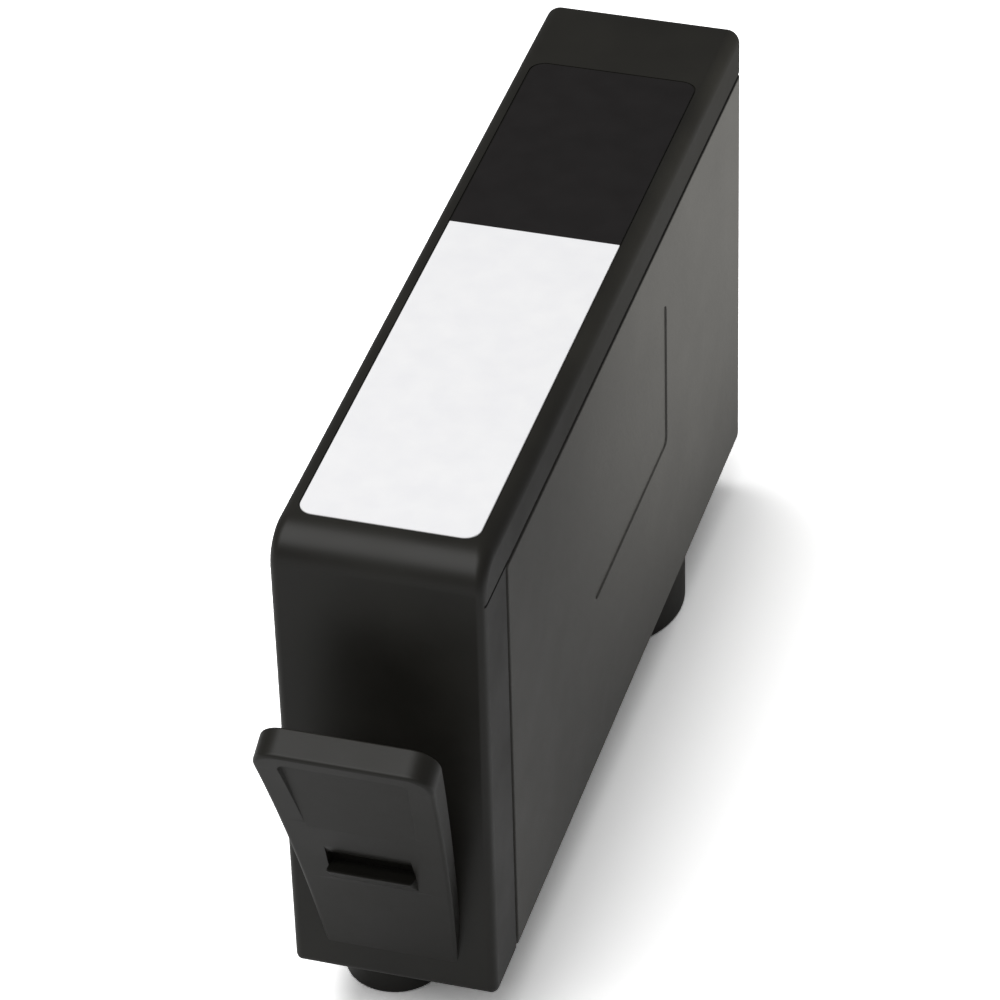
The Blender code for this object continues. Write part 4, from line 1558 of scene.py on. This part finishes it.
    def scoop_tool(self) -> bpy.types.Object:
        """Builds the cutter of the scoop, which deepens down to the catch and runs in under its ledge.

        Returns:
            The closed solid.
        """
        floor = self.catch_width / 2 - self.scoop_flare * self.scoop_depth
        loops = []
        for step in range(self.scoop_steps + 1):
            share = step / self.scoop_steps
            depth = self.scoop_depth * (1 - share) ** 2 + self.scoop_skin
            radius = min(self.scoop_soft, depth / 2)
            top = floor + self.scoop_flare * (OVERRUN + depth)
            corners = [(-top, OVERRUN), (-floor, -depth), (floor, -depth), (top, OVERRUN)]
            section = rounded(corners, (0, radius, radius, 0), self.section_steps)
            if step == 0:
                under = self.catch_up - self.scoop_past
                loops.append([(x, under - self.undercut(z), z) for x, z in section])
            loops.append([(x, self.catch_up + self.scoop_run * share, z) for x, z in section])
        return loft("scoop_cut", loops)

    def tooth(self) -> bpy.types.Object:
        """Builds the catch's wedge: a hooked ledge that faces up, and a face that runs out to the foot.

        Returns:
            The closed solid.
        """
        base = self.catch_width / 2
        soft = self.catch_soft
        middle = ROUND_MIDDLE * soft
        whole = self.catch_reach + self.scoop_depth
        low = -self.scoop_depth - self.catch_root
        loops = []
        for back, inset in ((0.0, soft), (middle, middle), (soft, 0.0), (self.catch_run, 0.0)):
            height = self.catch_reach - whole * back / self.catch_run - inset
            height = max(height, -self.scoop_depth + self.catch_least)
            upper = base - self.catch_flank * (height + self.scoop_depth) / whole
            corners = [(base, low), (upper, height), (-upper, height), (-base, low)]
            radius = min(soft, self.catch_corner * (height - low))
            section = rounded(corners, (0, radius, radius, 0), self.section_steps)
            kept = 1 - back / self.catch_run
            loops.append([(x, self.catch_up - back - kept * self.undercut(z), z) for x, z in section])
        return loft("catch_tooth", loops)

    def bent(self, point: Vector) -> Vector:
        """Moves a point of the flat latch to its place on the curved, leaning one.

        Args:
            point: The flat point.

        Returns:
            Its place in the cartridge.
        """
        x, along, out = point
        depth = out / self.top_thickness * self.thickness(along) if out < 0 else out
        reach, height, lean = self.front(along)
        y = self.body.front_y - reach - depth * math.cos(lean)
        z = self.body.base_z + height - depth * math.sin(lean)
        return Vector((x, y, z))

    def build(self) -> bpy.types.Object:
        """Builds the latch and bends it to its curve.

        Returns:
            The piece.
        """
        plate = self.flat_plate()
        shape(plate, "DIFFERENCE", self.panel_tool(), self.scoop_tool())
        shape(plate, "UNION", self.tooth())
        bm = bmesh.new()
        bm.from_mesh(plate.data)
        along = -self.buried + self.row
        while along < self.length:
            parts = bm.verts[:] + bm.edges[:] + bm.faces[:]
            line = (0, along, 0)
            bmesh.ops.bisect_plane(bm, geom=parts, plane_co=line, plane_no=(0, 1, 0), dist=self.same_place)
            along += self.row
        bmesh.ops.triangulate(bm, faces=[face for face in bm.faces if len(face.verts) > 4])
        bmesh.ops.dissolve_degenerate(bm, dist=self.sliver, edges=bm.edges[:])
        for vert in bm.verts:
            vert.co = self.bent(vert.co)
        bm.to_mesh(plate.data)
        bm.free()
        smooth(plate)
        return plate

    def dress(self, plate: bpy.types.Object) -> None:
        """Gives the latch its finish.

        Args:
            plate: The built latch.
        """
        give(plate, BLACK_PLASTIC.make())
        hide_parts("release_latch")
        middle = self.thickness(self.hinge_up) / 2
        start = self.bent(Vector((0, self.hinge_up - self.flex, -middle)))
        end = self.bent(Vector((0, self.hinge_up + self.flex, -middle)))
        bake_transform(plate)


@dataclass(frozen=True)
class InkTrain:
    """What holds and passes the ink inside: it keeps its CAD solids."""

    def dress(self) -> list[str]:
        """Gives each solid its finish.

        Returns:
            The names of the dressed solids.
        """
        finishes = {
            "vent_seal_film": SEAL_FILM,
            "ink_absorber": FOAM,
            "outlet_wick": FELT,
            "outlet_filter": STEEL_MESH,
            "fill_plug": ELASTOMER,
        }
        for name, finish in finishes.items():
            give(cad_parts[name], finish.make())
        return list(finishes)


@dataclass(frozen=True)
class Chip:
    """The chip on the rear face: board, contact pads and glob, from the CAD solids with softened edges."""

    board_edge: float = 0.08 * MM
    pad_edge: float = 0.03 * MM

    def dress(self) -> list[str]:
        """Gives each solid its finish, and the board and pads a small edge.

        Returns:
            The names of the dressed solids.
        """
        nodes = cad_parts
        pads = sorted(name for name in nodes if name.startswith("chip_contact"))
        give(nodes["chip_board"], LAMINATE.make())
        soften(nodes["chip_board"], self.board_edge)
        gold = GOLD.make()
        for name in pads:
            give(nodes[name], gold)
            soften(nodes[name], self.pad_edge)
        give(nodes["chip_glob"], EPOXY.make())
        return ["chip_board", *pads, "chip_glob"]


# Studio


@dataclass(frozen=True)
class Studio:
    """White floor, soft light from above, one low beam and a camera at the photograph's angle."""

    eye: Place = (115.32 * MM, -372.9 * MM, 322.96 * MM)
    target: Place = (-1.0 * MM, 1.22 * MM, 30.0 * MM)
    roll: float = math.radians(-1.653)
    lens: float = 195.84
    floor_size: float = 1.3
    room_lit: float = 0.26
    room_mirrored: float = 0.11
    floor_lit: float = 0.8
    # The floor's levels in reflections are painted light and shade that the cartridge mirrors, lightest a
    # little behind the front
    front_mirrored: float = 0.44
    side_mirrored: float = 0.72
    rear_mirrored: float = 0.22
    rise: Span = (-41.0 * MM, -29.0 * MM)
    fall: Span = (-22.0 * MM, 58.0 * MM)
    floor_shown: float = 2.0
    key_place: Place = (-0.24, 0.02, 0.78)
    key_size: float = 0.55
    key_power: float = 2.95
    front_place: Place = (-0.15, -0.34, 0.7)
    front_size: float = 0.8
    front_power: float = 3.3
    lamp_aim: Place = (0.0, 0.0, 0.02)
    beam_place: Place = (0.45, 0.28, 0.015)
    beam_aim: Place = (0.009, 0.052, 0.055)
    beam_power: float = 17.0
    beam_angle: float = math.radians(15)
    beam_source: float = 0.01

    def floor(self) -> bpy.types.Object:
        """Lays the floor: it shows white, keeps the shadow, and has a painted level in reflections, lightest
        a little behind the front.

        Returns:
            The floor.
        """
        half = self.floor_size / 2
        bm = bmesh.new()
        corners = [(-half, -half), (half, -half), (half, half), (-half, half)]
        bm.faces.new([bm.verts.new((x, y, 0.0)) for x, y in corners])
        sheet = add_mesh("studio_floor", bm)
        made = bpy.data.materials.new("white studio paper")
        made.use_nodes = True
        tree = made.node_tree
        tree.nodes.remove(tree.nodes["Principled BSDF"])
        place = add_node(tree, "ShaderNodeTexCoord").outputs["Object"]
        along = add_node(tree, "ShaderNodeSeparateXYZ", links={"Vector": place}).outputs["Y"]
        settings = {"From Min": self.rise[0], "From Max": self.rise[1]}
        settings |= {"To Min": self.front_mirrored, "To Max": self.side_mirrored}
        rise = add_node(tree, "ShaderNodeMapRange", settings, {"Value": along})
        settings = {"From Min": self.fall[0], "From Max": self.fall[1], "To Max": self.rear_mirrored}
        fall = add_node(tree, "ShaderNodeMapRange", settings, {"Value": along, "To Min": rise})
        tone = self.level(tree, self.floor_lit, fall, self.floor_shown)
        paper = add_node(tree, "ShaderNodeBsdfDiffuse", links={"Color": tone})
        tree.links.new(paper.outputs["BSDF"], tree.nodes["Material Output"].inputs["Surface"])
        sheet.data.materials.append(made)
        return sheet

    def level(
        self, tree: bpy.types.NodeTree, lit: float, mirrored: float | bpy.types.Node, shown: float
    ) -> bpy.types.NodeSocket:
        """Adds the nodes that give each kind of ray its own level.

        Args:
            tree: The node tree.
            lit: Level as a source of soft light.
            mirrored: Level in reflections, or the node that gives it.
            shown: Level to the camera, also through clear film.

        Returns:
            The level.
        """
        path = add_node(tree, "ShaderNodeLightPath").outputs
        settings = {"To Min": lit}
        links = {"Value": path["Is Glossy Ray"]}
        (links if isinstance(mirrored, bpy.types.Node) else settings)["To Max"] = mirrored
        other = add_node(tree, "ShaderNodeMapRange", settings, links)
        rays = {0: path["Is Camera Ray"], 1: path["Is Transmission Ray"]}
        seen = add_node(tree, "ShaderNodeMath", {"operation": "MAXIMUM"}, rays)
        links = {"Value": seen, "To Min": other}
        return add_node(tree, "ShaderNodeMapRange", {"To Max": shown}, links).outputs[0]

    def sky(self) -> None:
        """Makes the world white to the camera and an even dim room as light."""
        world = bpy.data.worlds.new("studio")
        world.use_nodes = True
        tree = world.node_tree
        level = self.level(tree, self.room_lit, self.room_mirrored, 1.0)
        tree.links.new(level, tree.nodes["Background"].inputs["Strength"])
        tree.nodes["Background"].inputs["Color"].default_value = (1.0, 1.0, 1.0, 1.0)
        bpy.context.scene.world = world

    def lamp(self, name: str, place: Place, size: float, power: float) -> bpy.types.Object:
        """Hangs a square softbox that faces the cartridge.

        Args:
            name: Name of the lamp.
            place: Where it hangs.
            size: Its width.
            power: Its power in watts.

        Returns:
            The lamp.
        """
        data = bpy.data.lights.new(name, "AREA")
        data.size = size
        data.energy = power
        return self.hang(data, place, self.lamp_aim)

    def snoot(self, name: str, place: Place, aim: Place) -> bpy.types.Object:
        """Sets a narrow soft-edged beam on one end of a side, off the floor and out of reflections.

        Args:
            name: Name of the lamp.
            place: Where it stands.
            aim: The point in the middle of its beam.

        Returns:
            The lamp.
        """
        data = bpy.data.lights.new(name, "SPOT")
        data.energy = self.beam_power
        data.spot_size = self.beam_angle
        data.spot_blend = 1.0
        data.shadow_soft_size = self.beam_source
        made = self.hang(data, place, aim)
        made.visible_glossy = False
        return made

    def hang(self, data: bpy.types.Light, place: Place, aim: Place) -> bpy.types.Object:
        """Puts a lamp into the scene.

        Args:
            data: The lamp's settings.
            place: Where it is.
            aim: The point that it faces.

        Returns:
            The lamp.
        """
        made = bpy.data.objects.new(data.name, data)
        made.location = place
        made.rotation_euler = (Vector(aim) - Vector(place)).to_track_quat("-Z", "Y").to_euler()
        bpy.context.scene.collection.objects.link(made)
        return made

    def camera(self) -> bpy.types.Object:
        """Sets the camera up at the photograph's viewing angle.

        Returns:
            The camera.
        """
        data = bpy.data.cameras.new("camera")
        data.lens = self.lens
        data.sensor_width = 36.0
        data.clip_start = 0.01
        data.clip_end = 20.0
        made = bpy.data.objects.new("camera", data)
        ahead = Vector(self.target) - Vector(self.eye)
        turn = ahead.to_track_quat("-Z", "Y").to_matrix() @ Matrix.Rotation(self.roll, 3, "Z")
        made.matrix_world = Matrix.Translation(self.eye) @ turn.to_4x4()
        bpy.context.scene.collection.objects.link(made)
        bpy.context.scene.camera = made
        return made

    def build(self) -> None:
        """Builds the floor, the sky, the lamps and the camera."""
        self.floor()
        self.sky()
        key = self.lamp("overhead softbox", self.key_place, self.key_size, self.key_power)
        key.visible_glossy = False
        self.lamp("front softbox", self.front_place, self.front_size, self.front_power)
        self.snoot("low rear snoot", self.beam_place, self.beam_aim)
        self.camera()
        bpy.context.scene.view_settings.view_transform = "Standard"


def main() -> None:
    """Builds and dresses the cartridge, then the studio."""
    logging.basicConfig(level=logging.INFO, format="%(message)s")
    body = Body(*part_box("tank_body"))
    seam = Seam(body)
    tank = Tank(body, seam)
    for part in (tank, Cover(body, seam, tank), Label(body), Latch(body)):
        piece = part.build()
        part.dress(piece)
        log.info("%s: %d faces", piece.name, len(piece.data.polygons))
    for group in (InkTrain(), Chip()):
        log.info("dressed %s", ", ".join(group.dress()))
    Studio().build()


if __name__ == "__main__":
    main()
